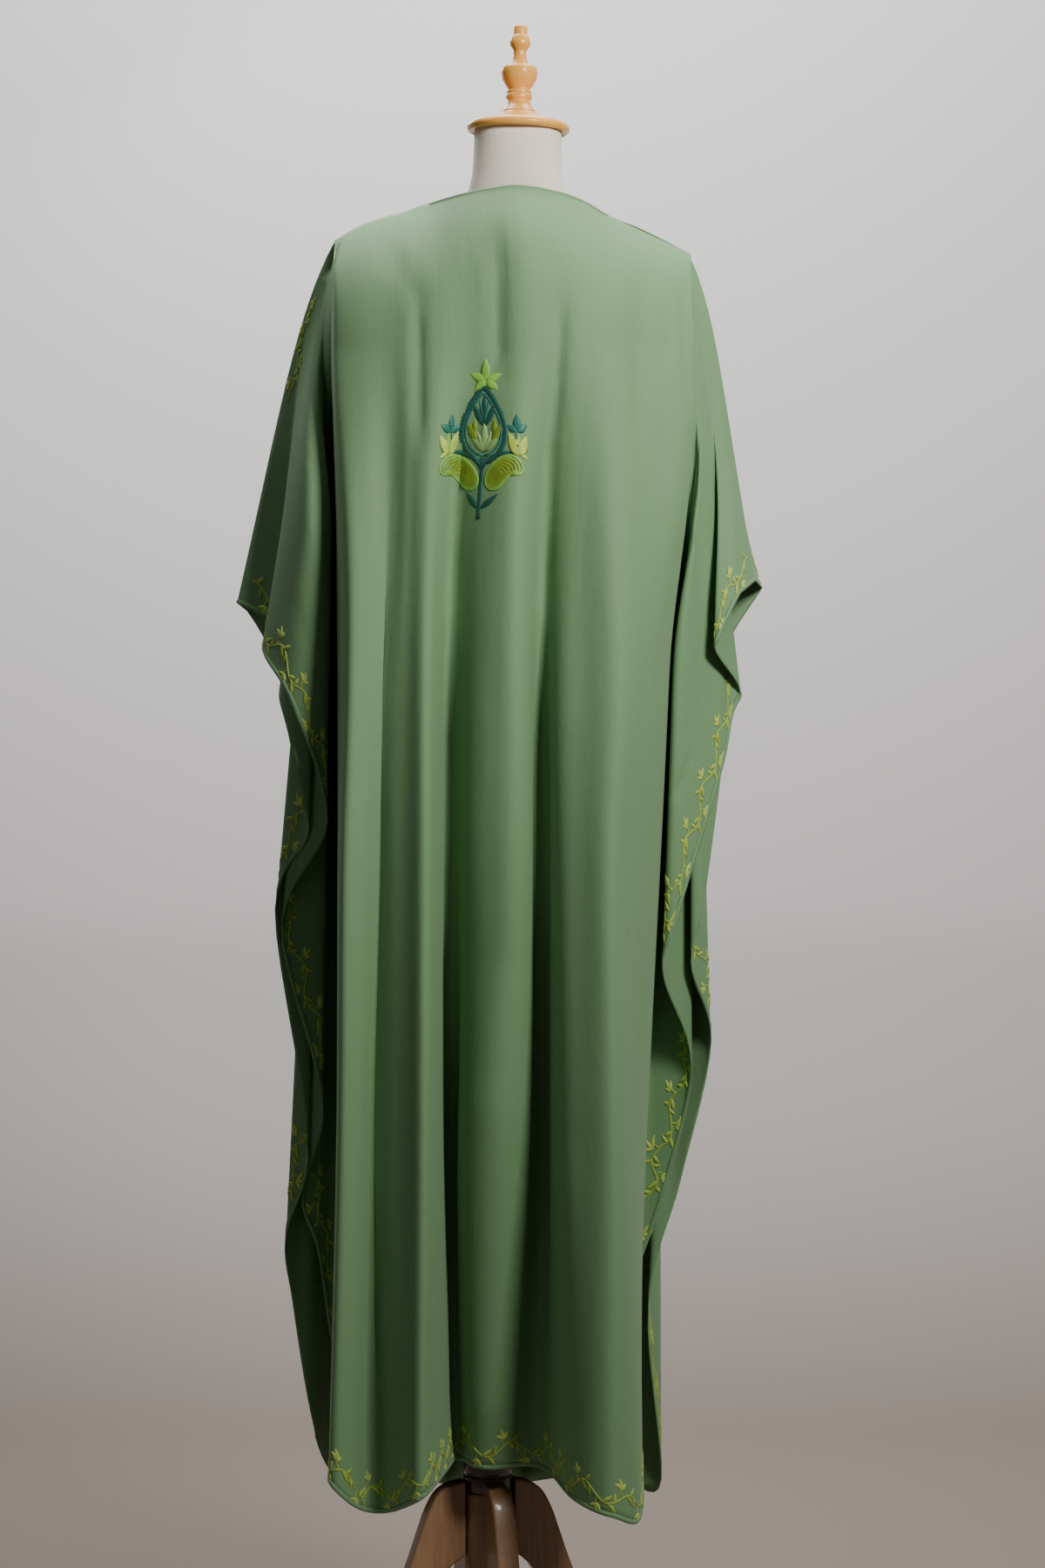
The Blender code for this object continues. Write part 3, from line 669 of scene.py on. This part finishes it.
    def runs(self, inwards):
        """Left edge, hem and right edge, this far in: placing function, steps, lengths, points, normals."""
        made = []
        for side in (LEFT, 0, RIGHT):
            reach = 1.0 if side == 0 else math.sqrt(LONGEST_RAY**2 - SLEEVES[side] ** 2) - inwards
            steps = np.linspace(0, reach, RUN_STEPS)
            place = self.hem_place if side == 0 else partial(self.side_place, side)
            points, normals = self.on_cloth(*place(steps, inwards))
            made.append((place, steps, length_along(points), points, normals))
        return made


def linked(name, data):
    made = bpy.data.objects.new(name, data)
    bpy.context.scene.collection.objects.link(made)
    return made


def new_object(name, mesh_data, surface):
    made = linked(name, mesh_data)
    made.data.materials.append(surface)
    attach(made, "root")
    return made


def mesh_from(name, points, faces, surface, flat_grid=None):
    mesh_data = bpy.data.meshes.new(name)
    mesh_data.from_pydata([tuple(p) for p in points], [], faces)
    if flat_grid is not None:
        layer = mesh_data.uv_layers.new(name="cut")
        flat_list = flat_grid.reshape(-1, 2)
        for loop in mesh_data.loops:
            layer.data[loop.index].uv = flat_list[loop.vertex_index]
    mesh_data.shade_smooth()
    return new_object(name, mesh_data, surface)


def grid_faces(down, across, columns):
    """The quads between these rows and columns of a grid that is so many columns wide."""
    return [
        (r * columns + c, (r + 1) * columns + c, (r + 1) * columns + c + 1, r * columns + c + 1)
        for r in down
        for c in across
    ]


def make_cloth(name, panel, surface):
    rows, columns = panel.places.shape[:2]
    faces = grid_faces(range(rows - 1), range(columns - 1), columns)
    if panel.facing < 0:
        faces = [face[::-1] for face in faces]
    made = mesh_from(name, panel.places.reshape(-1, 3), faces, surface, panel.flat_grid)
    wall = made.modifiers.new("Wall", "SOLIDIFY")
    wall.thickness = CLOTH_THICKNESS
    wall.offset = -1.0
    return made


class Threads:
    """Gathers raised threads of one colour into one mesh."""

    def __init__(self):
        self.points = []
        self.faces = []

    def sweep(self, places, normals, half_widths, heights):
        """A low rounded ridge along the places, as wide and as high as stated."""
        places, normals = np.array(places), np.array(normals)
        aside = np.cross(np.gradient(places, axis=0), normals)
        aside /= np.maximum(np.linalg.norm(aside, axis=1, keepdims=True), TINY)
        count = len(places)
        w, h = (np.broadcast_to(sizes, count)[:, None] for sizes in (half_widths, heights))
        rings = [places + aside * w * across + normals * h * up for across, up in RIDGE]
        rings.append(places - normals * THREAD_ROOT)
        base = len(self.points)
        self.points += list(np.stack(rings, axis=1).reshape(-1, 3))
        for k in range(base, base + (count - 1) * RIDGE_SIDES, RIDGE_SIDES):
            for j in range(RIDGE_SIDES):
                a, b = k + j, k + (j + 1) % RIDGE_SIDES
                self.faces.append((a, a + RIDGE_SIDES, b + RIDGE_SIDES, b))
        end = base + (count - 1) * RIDGE_SIDES
        self.faces.append(tuple(range(base, base + RIDGE_SIDES)))
        self.faces.append(tuple(reversed(range(end, end + RIDGE_SIDES))))

    def petal(self, places, normals, width, profile):
        """A petal or leaf, width in mm, as full as the profile."""
        self.sweep(places, normals, width * MM / 2 * profile, PETAL_LOW + PETAL_RISE * profile)

    def make(self, name, surface, slot="cloth"):
        made = mesh_from(name, self.points, self.faces, surface)
        builder = bmesh.new()
        builder.from_mesh(made.data)
        bmesh.ops.recalc_face_normals(builder, faces=builder.faces)
        builder.to_mesh(made.data)
        builder.free()
        return made


def chain(count, low, width):
    """Half widths along a row of chain stitches, which narrow to the share low. width in mm."""
    return np.where(np.arange(count) % 2 == 0, 1.0, low) * width * MM / 2


def sew_vine(sewn, first, last, vine, buds):
    """A waving stem with its buds and leaves. sewn places points so far along it and so far inwards."""
    wave = BORDER["wave"] * MM
    s = np.arange(first, last, BORDER["step"] * MM)
    points, normals = sewn(s, BORDER["swing"] * MM * np.sin(2 * np.pi * s / wave))
    vine.sweep(points, normals, chain(len(s), CHAIN["vine"], BORDER["stem"]), STEM_HEIGHT)
    for half_wave in range(2 * int(last / wave) + 2):
        mirror = 1 - 2 * (half_wave % 2)
        for kind, at, turn, *sizes in BORDER_GROWTH:
            root = (half_wave / 2 + at) * wave
            if first < root < last - BORDER_END:
                sew_growth(sewn, root, (kind, mirror * turn, *sizes), vine, buds)


def sew_border(panel, vine, buds):
    """The vine along left edge, hem and right edge. It stays as narrow where the cloth turns sharply."""
    middle = BORDER["middle"] * MM
    for place, steps, length, _, _ in panel.runs(middle):
        sides = [panel.on_cloth(*place(steps, middle + far))[0] for far in (PROBE, -PROBE)]
        gaps = np.linalg.norm(sides[1] - sides[0], axis=1)
        stretch = np.clip(gaps / (2 * PROBE), 1.0, MOST_STRETCH)

        def sewn(s, inwards):
            eased = inwards / np.interp(s, length, stretch)
            return panel.on_cloth(*place(np.interp(s, length, steps), middle + eased))

        sew_vine(sewn, BORDER_END, length[-1] - BORDER_END, vine, buds)


def sew_spray(panel, vine, buds):
    """The stretch of the vine that shows high on the left wing, beside the shoulder."""

    def sewn(s, inwards):
        down = (SPRAY["start"] + s) / SLEEVES[LEFT]
        return panel.on_cloth(SPRAY["across"] + inwards / SPRAY["ray_gap"], down)

    sew_vine(sewn, 0.0, SPRAY["length"], vine, buds)


def sew_growth(sewn, root, growth, vine, buds):
    """A stalk, petal or leaf that leaves the stem at root."""
    kind, turn, reach, long, wide = growth
    wave, swing = BORDER["wave"] * MM, BORDER["swing"] * MM
    phase = 2 * math.pi * root / wave
    slope = math.atan(swing * 2 * math.pi / wave * math.cos(phase))
    shares = np.linspace(0, 1, GROWTH_STEPS)
    start = np.zeros(2)
    if kind == "bud_petal":
        stalk = slope + math.copysign(math.radians(STALK_TURN), turn)
        start = reach * MM * np.array([math.cos(stalk), math.sin(stalk)])
        reach = 0.0
    bent = slope + math.radians(turn) * (1 + 0.3 * shares)
    far = (reach + long * shares) * MM
    along = root + start[0] + far * np.cos(bent)
    inwards = swing * math.sin(phase) + start[1] + far * np.sin(bent)
    points, normals = sewn(along, inwards)
    if kind == "bud_stalk":
        vine.sweep(points, normals, wide * MM / 2, STALK_HEIGHT)
        return
    profile = np.sin(np.pi * np.linspace(0.03, 0.97, GROWTH_STEPS) ** 0.85)
    threads = buds if kind == "bud_petal" else vine
    threads.petal(points, normals, wide, profile)


def sew_line(threads, points, normals):
    """Even stitches along a line of points."""
    length = length_along(points)
    rise = np.array(STITCH_RISE)
    for start in np.arange(STITCH["start"], length[-1] - STITCH["pitch"], STITCH["pitch"]):
        at = start + np.linspace(0, STITCH["length"], len(rise))
        p = np.array([np.interp(at, length, points[:, axis]) for axis in range(3)]).T
        n = np.array([np.interp(at, length, normals[:, axis]) for axis in range(3)]).T
        threads.sweep(p, n, STITCH["width"] / 2 * (0.5 + rise / 2), STITCH["height"] * rise)


def sew_edges(panel, rolls, stitches):
    """A narrow rolled hem round side edges and hem, and its line of stitches."""
    for _, _, _, points, normals in panel.runs(HEM_ROLL["in"]):
        keep = np.append(True, np.linalg.norm(np.diff(points, axis=0), axis=1) > 1e-5)
        rolls.sweep(points[keep], normals[keep], HEM_ROLL["half_width"], HEM_ROLL["height"])
    for _, _, _, points, normals in panel.runs(HEM_STITCH_IN):
        sew_line(stitches, points, normals)


def sew_neck(panel, ends, rolls, stitches):
    """The turned neck edge and the line of stitches under it, between two folds of the body."""
    first, last = (panel.column(name) for name in ends)
    across = np.linspace(first + NECK_ROLL["ends"], last - NECK_ROLL["ends"], NECK_STEPS)
    top, under = (panel.on_cloth(across, down)[0] for down in (0.0, NECK_PROBE))
    per_down = np.linalg.norm(under - top, axis=1) / NECK_PROBE
    points, normals = panel.on_cloth(across, NECK_ROLL["in"] / per_down)
    rolls.sweep(points, normals, NECK_ROLL["half_width"], NECK_ROLL["height"])
    sew_line(stitches, *panel.on_cloth(across, NECK_STITCH_IN / per_down))


class Motif:
    """The embroidery at the centre of the back, laid on the cloth as it is seen from behind."""

    def __init__(self, panel):
        rows, columns = panel.places.shape[:2]
        body = range(panel.left * STEPS_PER_FOLD, columns - panel.right * STEPS_PER_FOLD)
        points = [Vector(p) for p in panel.places.reshape(-1, 3)]
        self.tree = BVHTree.FromPolygons(points, grid_faces(range(rows // 2), body, columns))
        self.eye = Vector((EYE_X, EYE_DISTANCE, EYE_Z)) - ORIGIN
        self.threads = {name: Threads() for name in THREADS}

    def lay(self, xs, zs):
        points, normals = [], []
        for x, z in zip(xs, zs):
            target = Vector((MOTIF_MIDDLE[0] - x * MM, 0.0, MOTIF_MIDDLE[1] + z * MM)) - ORIGIN
            place, normal, _, _ = self.tree.ray_cast(self.eye, (target - self.eye).normalized())
            if normal.y < 0:
                normal = -normal
            points.append(np.array(place))
            normals.append(np.array(normal))
        return points, normals

    def ridge(self, xs, zs, half_widths, heights, thread):
        points, normals = self.lay(xs, zs)
        self.threads[thread].sweep(points, normals, half_widths, heights)

    def petals(self):
        share = np.linspace(0.04, 0.98, 9)
        profile = np.sin(np.pi * share**0.8)
        for _, thread, petals in MOTIF_PETALS:
            for x, z, turn, length, width in petals:
                a = math.radians(turn)
                places = self.lay(x + math.sin(a) * length * share, z + math.cos(a) * length * share)
                self.threads[thread].petal(*places, width, profile)

    def stems(self):
        t = np.linspace(0, 1, BRANCH_STEPS)
        for _, start, bend, end, width, thread in MOTIF_STEMS:
            xs, zs = (
                (1 - t) ** 2 * start[i] + 2 * t * (1 - t) * bend[i] + t * t * end[i] for i in (0, 1)
            )
            self.ridge(xs, zs, chain(BRANCH_STEPS, CHAIN["stem"], width), STEM_HEIGHT, thread)

    def oval(self, grow, width, thread):
        t = np.linspace(0, 1, OVAL_STEPS)
        side = np.where(t < 0.5, -1, 1)
        up = 1 - np.abs(2 * t - 1)
        xs = OVAL["foot"][0] + side * OVAL["half_width"] * grow * np.sin(np.pi * up**0.72) ** 0.8
        middle = OVAL["height"] / 2
        zs = OVAL["foot"][1] + middle + (up * OVAL["height"] - middle) * grow
        self.ridge(xs, zs, chain(OVAL_STEPS, CHAIN["stem"], width), STEM_HEIGHT, thread)

    def paisley(self, mirrored):
        count = len(PAISLEY)
        knots = list(range(-2, count + 3))
        outline = [[PAISLEY[k % count][axis] for k in knots] for axis in (0, 1)]
        t = np.linspace(0, count, PAISLEY_STEPS)
        xs, zs = (np.array([through(knots, outline[axis], at) for at in t]) for axis in (0, 1))
        for share, width, thread in PAISLEY_RINGS:
            ring_xs = PAISLEY_MIDDLE[0] + (xs - PAISLEY_MIDDLE[0]) * share
            ring_zs = PAISLEY_MIDDLE[1] + (zs - PAISLEY_MIDDLE[1]) * share
            if mirrored:
                ring_xs = PAISLEY_MIRROR - ring_xs
            half_widths = chain(PAISLEY_STEPS, CHAIN["paisley"], width)
            self.ridge(ring_xs, ring_zs, half_widths, PAISLEY_HEIGHT, thread)

    def make(self, surfaces):
        for ring in OVAL_RINGS:
            self.oval(*ring)
        self.stems()
        self.petals()
        for mirrored in (False, True):
            self.paisley(mirrored)
        made = []
        for name, threads in self.threads.items():
            if threads.points:
                made.append(threads.make(f"motif_{name}", surfaces[name]))
        return made


def leaning(made):
    """Tilts a piece of the form about the foot of its pole and moves it to the model's origin."""
    foot = Vector((0.0, 0.0, LEAN_FOOT_Z))
    place = (
        Matrix.Translation(-ORIGIN)
        @ Matrix.Translation(foot)
        @ Matrix.Rotation(-LEAN, 4, "Y")
        @ Matrix.Translation(-foot)
    )
    made.data.transform(place)


def make_torso(surface):
    heights, widths, depths = zip(*FORM_RINGS)
    rings = np.arange((len(heights) - 1) * RING_STEPS + 1) / RING_STEPS
    levels = np.interp(rings, range(len(heights)), heights)
    angles = 2 * math.pi * np.arange(FORM_SIDES) / FORM_SIDES
    ways = (np.cos(angles), np.sin(angles))
    outline = [np.copysign(np.abs(way) ** (2 / FORM_SQUARENESS), way) for way in ways]
    points, flat = [], []
    for height in levels:
        half_width, half_depth = through(heights, widths, height), through(heights, depths, height)
        points += [(x * half_width * MM, y * half_depth * MM, height * MM) for x, y in zip(*outline)]
        flat += [(angle * LINEN_PER_RADIAN, height * MM) for angle in angles]
    faces = []
    for level in range(len(levels) - 1):
        for step in range(FORM_SIDES):
            after = (step + 1) % FORM_SIDES
            a, b = level * FORM_SIDES + step, level * FORM_SIDES + after
            faces.append((a, b, b + FORM_SIDES, a + FORM_SIDES))
    top = (len(levels) - 1) * FORM_SIDES
    faces.append(tuple(reversed(range(FORM_SIDES))))
    faces.append(tuple(top + step for step in range(FORM_SIDES)))
    made = mesh_from("form_cover", points, faces, surface, np.array(flat))
    leaning(made)
    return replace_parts(made, "form_torso")


def turned(name, profile, lift, surface, node, leans=True):
    """A turned piece from its outer profile, in mm, standing lift above the floor."""
    mesh_data = bpy.data.meshes.new(name)
    builder = bmesh.new()
    corners = [builder.verts.new((radius * MM, 0.0, height * MM + lift)) for radius, height in profile]
    for above, below in zip(corners, corners[1:]):
        builder.edges.new((above, below))
    bmesh.ops.bevel(
        builder, geom=corners[1:-1], offset=TURNED_EDGE, segments=2, profile=0.5, affect="VERTICES"
    )
    bmesh.ops.spin(
        builder,
        geom=list(builder.verts) + list(builder.edges),
        cent=(0, 0, 0),
        axis=(0, 0, 1),
        angle=2 * math.pi,
        steps=TURNING_STEPS,
        use_merge=True,
        use_duplicate=False,
    )
    bmesh.ops.remove_doubles(builder, verts=builder.verts, dist=TURNED_MERGE)
    bmesh.ops.recalc_face_normals(builder, faces=builder.faces)
    builder.to_mesh(mesh_data)
    builder.free()
    mesh_data.shade_smooth()
    made = new_object(name, mesh_data, surface)
    if leans:
        leaning(made)
    else:
        made.data.transform(Matrix.Translation(-ORIGIN))
    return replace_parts(made, node)


def make_leg(number, heading, surface):
    outline = bpy.data.curves.new(f"board_leg_{number}", "CURVE")
    outline.dimensions = "2D"
    outline.fill_mode = "BOTH"
    outline.extrude = LEG_THICKNESS / 2 - LEG_BEVEL
    outline.bevel_depth = LEG_BEVEL
    outline.bevel_resolution = 3
    outline.offset = -LEG_BEVEL
    knots = np.array(LEG_OUTLINE, dtype=float)
    last = len(knots) - 1
    smooth = [
        curved(knots[max(k - 1, 0)], knots[k], knots[k + 1], knots[min(k + 2, last)], step / LEG_STEPS)
        for k in range(last)
        for step in range(LEG_STEPS)
    ]
    smooth.append(knots[-1])
    spline = outline.splines.new("POLY")
    spline.points.add(len(smooth) - 1)
    for point, (reach, height) in zip(spline.points, smooth):
        point.co = (max(reach, 0) * MM + LEG_ROOT, max(height, 0.0) * MM, 0.0, 1.0)
    spline.use_cyclic_u = True
    scratch = linked("board", outline)
    graph = bpy.context.evaluated_depsgraph_get()
    mesh_data = bpy.data.meshes.new_from_object(scratch.evaluated_get(graph))
    bpy.data.objects.remove(scratch)
    mesh_data.transform(
        Matrix.Translation(-ORIGIN)
        @ Matrix.Rotation(math.radians(90.0 - heading), 4, "Z")
        @ Matrix.Rotation(math.radians(90.0), 4, "X")
    )
    mesh_data.materials.clear()
    made = new_object(f"board_leg_{number}", mesh_data, surface)
    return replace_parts(made, f"leg_{number}")


class Surface:
    """A material whose nodes are added one by one."""

    def __init__(self, name, colour, roughness, **sockets):
        self.material = bpy.data.materials.new(name)
        self.material.use_nodes = True
        self.nodes = self.material.node_tree.nodes
        self.links = self.material.node_tree.links
        self.shader = self.nodes["Principled BSDF"]
        self.shader.inputs["Base Color"].default_value = (*colour, 1.0)
        self.shader.inputs["Roughness"].default_value = roughness
        for socket, value in sockets.items():
            self.shader.inputs[socket.replace("_", " ")].default_value = value

    def add(self, kind, operation=None, inputs=(), **settings):
        made = self.nodes.new(kind)
        if operation:
            made.operation = operation
        for key, value in settings.items():
            setattr(made, key, value)
        for index, value in inputs:
            if isinstance(value, bpy.types.NodeSocket):
                self.links.new(value, made.inputs[index])
            else:
                made.inputs[index].default_value = value
        return made

    def math(self, operation, *values):
        return self.add("ShaderNodeMath", operation, list(enumerate(values))).outputs[0]

    def noise(self, vector, scale, detail=3.0, distortion=0.0):
        """Noise of this scale, or of its own scale along each axis."""
        if isinstance(scale, tuple):
            mapping = self.add("ShaderNodeMapping", inputs=[("Vector", vector), ("Scale", scale)])
            vector, scale = mapping.outputs[0], 1.0
        made = self.add(
            "ShaderNodeTexNoise",
            inputs=[("Vector", vector), ("Scale", scale), ("Detail", detail), ("Distortion", distortion)],
        )
        return made.outputs["Fac"]

    def bump(self, height, strength, distance, under=None):
        inputs = [("Height", height), ("Strength", strength), ("Distance", distance)]
        if under is not None:
            inputs.append(("Normal", under))
        return self.add("ShaderNodeBump", inputs=inputs).outputs["Normal"]

    def cut(self):
        """Places in the flat cloth."""
        return self.add("ShaderNodeUVMap", uv_map="cut").outputs["UV"]

    def place(self):
        return self.add("ShaderNodeTexCoord").outputs["Object"]

    def tint(self, factor, dark, light):
        ramp = self.add("ShaderNodeValToRGB", inputs=[("Fac", factor)])
        ramp.color_ramp.elements[0].color = (*dark, 1.0)
        ramp.color_ramp.elements[1].color = (*light, 1.0)
        return ramp.outputs["Color"]

    def effect(self, group, **given):
        """Places a shared effect and gives its outputs."""
        return self.add("ShaderNodeGroup", inputs=given.items(), node_tree=group).outputs

    def tone(self, factor, colour, darkest, lightest):
        """Lets the colour run from darkest to lightest, as multiples of itself."""
        ends = (tuple(min(channel * times, 1.0) for channel in colour) for times in (darkest, lightest))
        self.set("Base Color", self.tint(factor, *ends))

    def set(self, socket, value):
        self.links.new(value, self.shader.inputs[socket])


class Effect(Surface):
    """A node group for an effect that several materials share, with named inputs and outputs."""

    def __init__(self, name, inputs, outputs):
        self.group = bpy.data.node_groups.new(name, "ShaderNodeTree")
        self.nodes, self.links = self.group.nodes, self.group.links
        for label, kind in inputs.items():
            self.group.interface.new_socket(label, in_out="INPUT", socket_type=f"NodeSocket{kind}")
        for label in outputs:
            self.group.interface.new_socket(label, in_out="OUTPUT", socket_type="NodeSocketFloat")
        self.given = self.nodes.new("NodeGroupInput").outputs
        self.result = self.nodes.new("NodeGroupOutput").inputs

    def set(self, socket, value):
        self.links.new(value, self.result[socket])


def weave_effect():
    """A plain weave, threads over and under one another, and the slubs in its threads."""
    effect = Effect("weave", {"Cut": "Vector", "Pitch": "Float"}, ("Weave", "Slubs"))
    parts = effect.add("ShaderNodeSeparateXYZ", inputs=[(0, effect.given["Cut"])]).outputs
    turn = effect.math("DIVIDE", 2 * math.pi, effect.given["Pitch"])
    across = effect.math("SINE", effect.math("MULTIPLY", parts[0], turn))
    along = effect.math("SINE", effect.math("MULTIPLY", parts[1], turn))
    effect.set("Weave", effect.math("MULTIPLY", across, along))
    upright = effect.noise(effect.given["Cut"], (900, 60, 1), 4.0)
    level = effect.noise(effect.given["Cut"], (60, 900, 1), 4.0)
    effect.set("Slubs", effect.math("MULTIPLY", effect.math("ADD", upright, level), 0.5))
    return effect.group


def grain_effect():
    """Wood grain that runs upright, and its fine pores."""
    effect = Effect("grain", {"Place": "Vector", "Scale": "Float"}, ("Grain", "Pores"))
    grain = effect.noise(effect.given["Place"], (160, 160, 9), 6.0, 1.4)
    effect.links.new(effect.given["Scale"], grain.node.inputs["Scale"])
    effect.set("Grain", grain)
    effect.set("Pores", effect.noise(effect.given["Place"], (900, 900, 40), 3.0))
    return effect.group


def fibre_effect():
    """Fine fibres and slow changes of tone along embroidery thread."""
    effect = Effect("fibre", {"Place": "Vector"}, ("Fibre", "Patch"))
    effect.set("Fibre", effect.noise(effect.given["Place"], 1500.0, 2.0))
    effect.set("Patch", effect.noise(effect.given["Place"], 90.0, 2.0))
    return effect.group


def cloth_surface(weave_group):
    surface = Surface("cloth_green", CLOTH_COLOUR, 0.72, Sheen_Weight=0.18, Sheen_Roughness=0.45)
    cut = surface.cut()
    weave = surface.effect(weave_group, Cut=cut, Pitch=0.0009)
    crumple = surface.noise(cut, (46, 20, 1), 4.0, 0.6)
    crinkle = surface.noise(cut, (150, 110, 1), 5.0, 0.4)
    wide = surface.noise(cut, (16, 3.2, 1), 3.0, 0.8)
    normal = surface.bump(wide, 0.35, 0.004)
    normal = surface.bump(crumple, 0.4, 0.0010, normal)
    normal = surface.bump(crinkle, 0.4, 0.0004, normal)
    normal = surface.bump(weave["Slubs"], 0.3, 0.0002, normal)
    normal = surface.bump(weave["Weave"], 0.5, 0.00008, normal)
    surface.set("Normal", normal)
    surface.tone(weave["Slubs"], CLOTH_COLOUR, 0.84, 1.16)
    surface.shader.inputs["Sheen Tint"].default_value = (0.75, 0.95, 0.70, 1.0)
    return surface.material


def thread_surface(name, colour, fibre_group):
    surface = Surface(f"thread_{name}", colour, 0.50, Sheen_Weight=0.1)
    fibre = surface.effect(fibre_group, Place=surface.place())
    surface.set("Normal", surface.bump(fibre["Fibre"], 0.5, 0.0002))
    surface.tone(fibre["Patch"], colour, 0.62, 1.30)
    return surface.material


def linen_surface(weave_group):
    surface = Surface("linen_cover", LINEN_COLOUR, 0.85, Sheen_Weight=0.25)
    cut = surface.cut()
    weave = surface.effect(weave_group, Cut=cut, Pitch=0.0012)
    slubs = surface.bump(weave["Slubs"], 0.4, 0.0003)
    surface.set("Normal", surface.bump(weave["Weave"], 0.5, 0.00012, slubs))
    surface.tone(weave["Slubs"], LINEN_COLOUR, 0.90, 1.10)
    return surface.material


def wood_surface(grain_group, name, dark, light, roughness, coat):
    surface = Surface(name, light, roughness, Coat_Weight=coat, Coat_Roughness=0.12)
    grain = surface.effect(grain_group, Place=surface.place(), Scale=1.0)
    surface.set("Base Color", surface.tint(grain["Grain"], dark, light))
    surface.set("Normal", surface.bump(grain["Pores"], 0.25, 0.0002))
    return surface.material


def make_camera():
    data = bpy.data.cameras.new("camera")
    data.lens = LENS_MM
    data.sensor_width = 36.0
    camera = linked("camera", data)
    camera.location = Vector((EYE_X, EYE_DISTANCE, EYE_Z)) - ORIGIN
    camera.rotation_euler = (math.radians(90), 0, math.radians(180))
    bpy.context.scene.camera = camera


def make_light(name, place, target, size, power, colour):
    data = bpy.data.lights.new(name, "AREA")
    data.size = size
    data.energy = power
    data.color = colour
    light = linked(name, data)
    light.location = place
    light.rotation_euler = (Vector(target) - Vector(place)).to_track_quat("-Z", "Y").to_euler()


def see_through_from_behind(surface):
    """Hides the room's wall from a camera that stands behind it."""
    behind = surface.add("ShaderNodeNewGeometry").outputs["Backfacing"]
    clear = surface.add("ShaderNodeBsdfTransparent").outputs[0]
    shown = surface.shader.outputs[0]
    mixed = surface.add("ShaderNodeMixShader", inputs=[(0, behind), (1, shown), (2, clear)])
    surface.links.new(mixed.outputs[0], surface.nodes["Material Output"].inputs["Surface"])


def make_air():
    """A dim world for the light, which the camera sees as a pale backdrop past the room's edges."""
    world = bpy.data.worlds.new("air")
    world.use_nodes = True
    nodes, links = world.node_tree.nodes, world.node_tree.links
    dim = nodes["Background"]
    dim.inputs["Color"].default_value = AIR_COLOUR
    dim.inputs["Strength"].default_value = AIR_STRENGTH
    pale = nodes.new("ShaderNodeBackground")
    pale.inputs["Color"].default_value = BACKDROP_COLOUR
    mixed = nodes.new("ShaderNodeMixShader")
    links.new(nodes.new("ShaderNodeLightPath").outputs["Is Camera Ray"], mixed.inputs[0])
    links.new(dim.outputs[0], mixed.inputs[1])
    links.new(pale.outputs[0], mixed.inputs[2])
    links.new(mixed.outputs[0], nodes["World Output"].inputs["Surface"])
    bpy.context.scene.world = world


def make_room():
    surface = Surface("room", WALL_COLOUR, 0.9)
    # The room's colour runs from the floor's colour on the floor to the wall's colour at shade_height up
    # the wall, darker towards the bottom.
    height = surface.add("ShaderNodeSeparateXYZ", inputs=[(0, surface.place())]).outputs[2]
    share = surface.math("DIVIDE", height, ROOM["shade_height"])
    surface.set("Base Color", surface.tint(share, FLOOR_COLOUR, WALL_COLOUR))
    see_through_from_behind(surface)
    corner = ROOM["corner"]
    bend = ROOM["wall"] + corner
    profile = [(ROOM["front"], 0.0), (bend, 0.0)]
    for a in np.linspace(0.15, math.pi / 2, 12):
        profile.append((bend - corner * math.sin(a), corner - corner * math.cos(a)))
    profile.append((ROOM["wall"], ROOM["height"]))
    points = [(x, y, z) for y, z in profile for x in (-ROOM["half_width"], ROOM["half_width"])]
    faces = [(2 * k, 2 * k + 2, 2 * k + 3, 2 * k + 1) for k in range(len(profile) - 1)]
    mesh_data = bpy.data.meshes.new("room")
    mesh_data.from_pydata(points, [], faces)
    mesh_data.shade_smooth()
    mesh_data.materials.append(surface.material)
    room = linked("room", mesh_data)
    make_air()
    for light in LIGHTS:
        make_light(*light)


def main():
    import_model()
    weave, grain, fibre = weave_effect(), grain_effect(), fibre_effect()
    green = cloth_surface(weave)
    surfaces = {name: thread_surface(name, colour, fibre) for name, colour in THREADS.items()}
    panels = {
        "back": Panel(LEFT_BACK_RAYS, BACK_FOLDS, RIGHT_BACK_RAYS, 1, creased=True),
        "front": Panel(LEFT_FRONT_RAYS, FRONT_FOLDS, RIGHT_FRONT_RAYS, -1, corners=NECKS["front"]),
    }
    for side, panel in panels.items():
        cloth = make_cloth(f"cloth_{side}", panel, green)
        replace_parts(cloth, f"{side}_panel")
        vine, buds, rolls, stitches = (Threads() for _ in range(4))
        sew_border(panel, vine, buds)
        if side == "back":
            sew_spray(panel, vine, buds)
        sew_edges(panel, rolls, stitches)
        sew_neck(panel, NECKS[side], rolls, stitches)
        sewn = [
            vine.make(f"vine_{side}", surfaces["vine"]),
            buds.make(f"buds_{side}", surfaces["bud"]),
            rolls.make(f"rolled_edge_{side}", green),
            stitches.make(f"stitches_{side}", surfaces["seam"]),
        ]
        if side == "back":
            sewn += Motif(panel).make(surfaces)
    make_torso(linen_surface(weave))
    woods = {name: wood_surface(grain, f"{name}_varnish", *look) for name, look in WOODS.items()}
    steel = Surface("brushed_steel", STEEL_COLOUR, 0.32, Metallic=1.0).material
    top = NECK_TOP_Z + SEAT_GAP
    turned("turned_cap", CAP_PROFILE, top, woods["honey"], "neck_cap")
    turned("turned_finial", FINIAL_PROFILE, top, woods["honey"], "finial")
    turned("round_pole", POLE_PROFILE, POLE_BOTTOM_Z, steel, "pole")
    foot, hub = woods["leg"], woods["dark"]
    turned("turned_hub", HUB_PROFILE, HUB_BOTTOM_Z, hub, "hub_collar", leans=False)
    turned("turned_column", COLUMN_PROFILE, COLUMN_BOTTOM_Z, foot, "base_column", leans=False)
    for number, heading in enumerate(LEG_HEADINGS, start=1):
        make_leg(number, heading, foot)
    make_room()
    make_camera()


main()
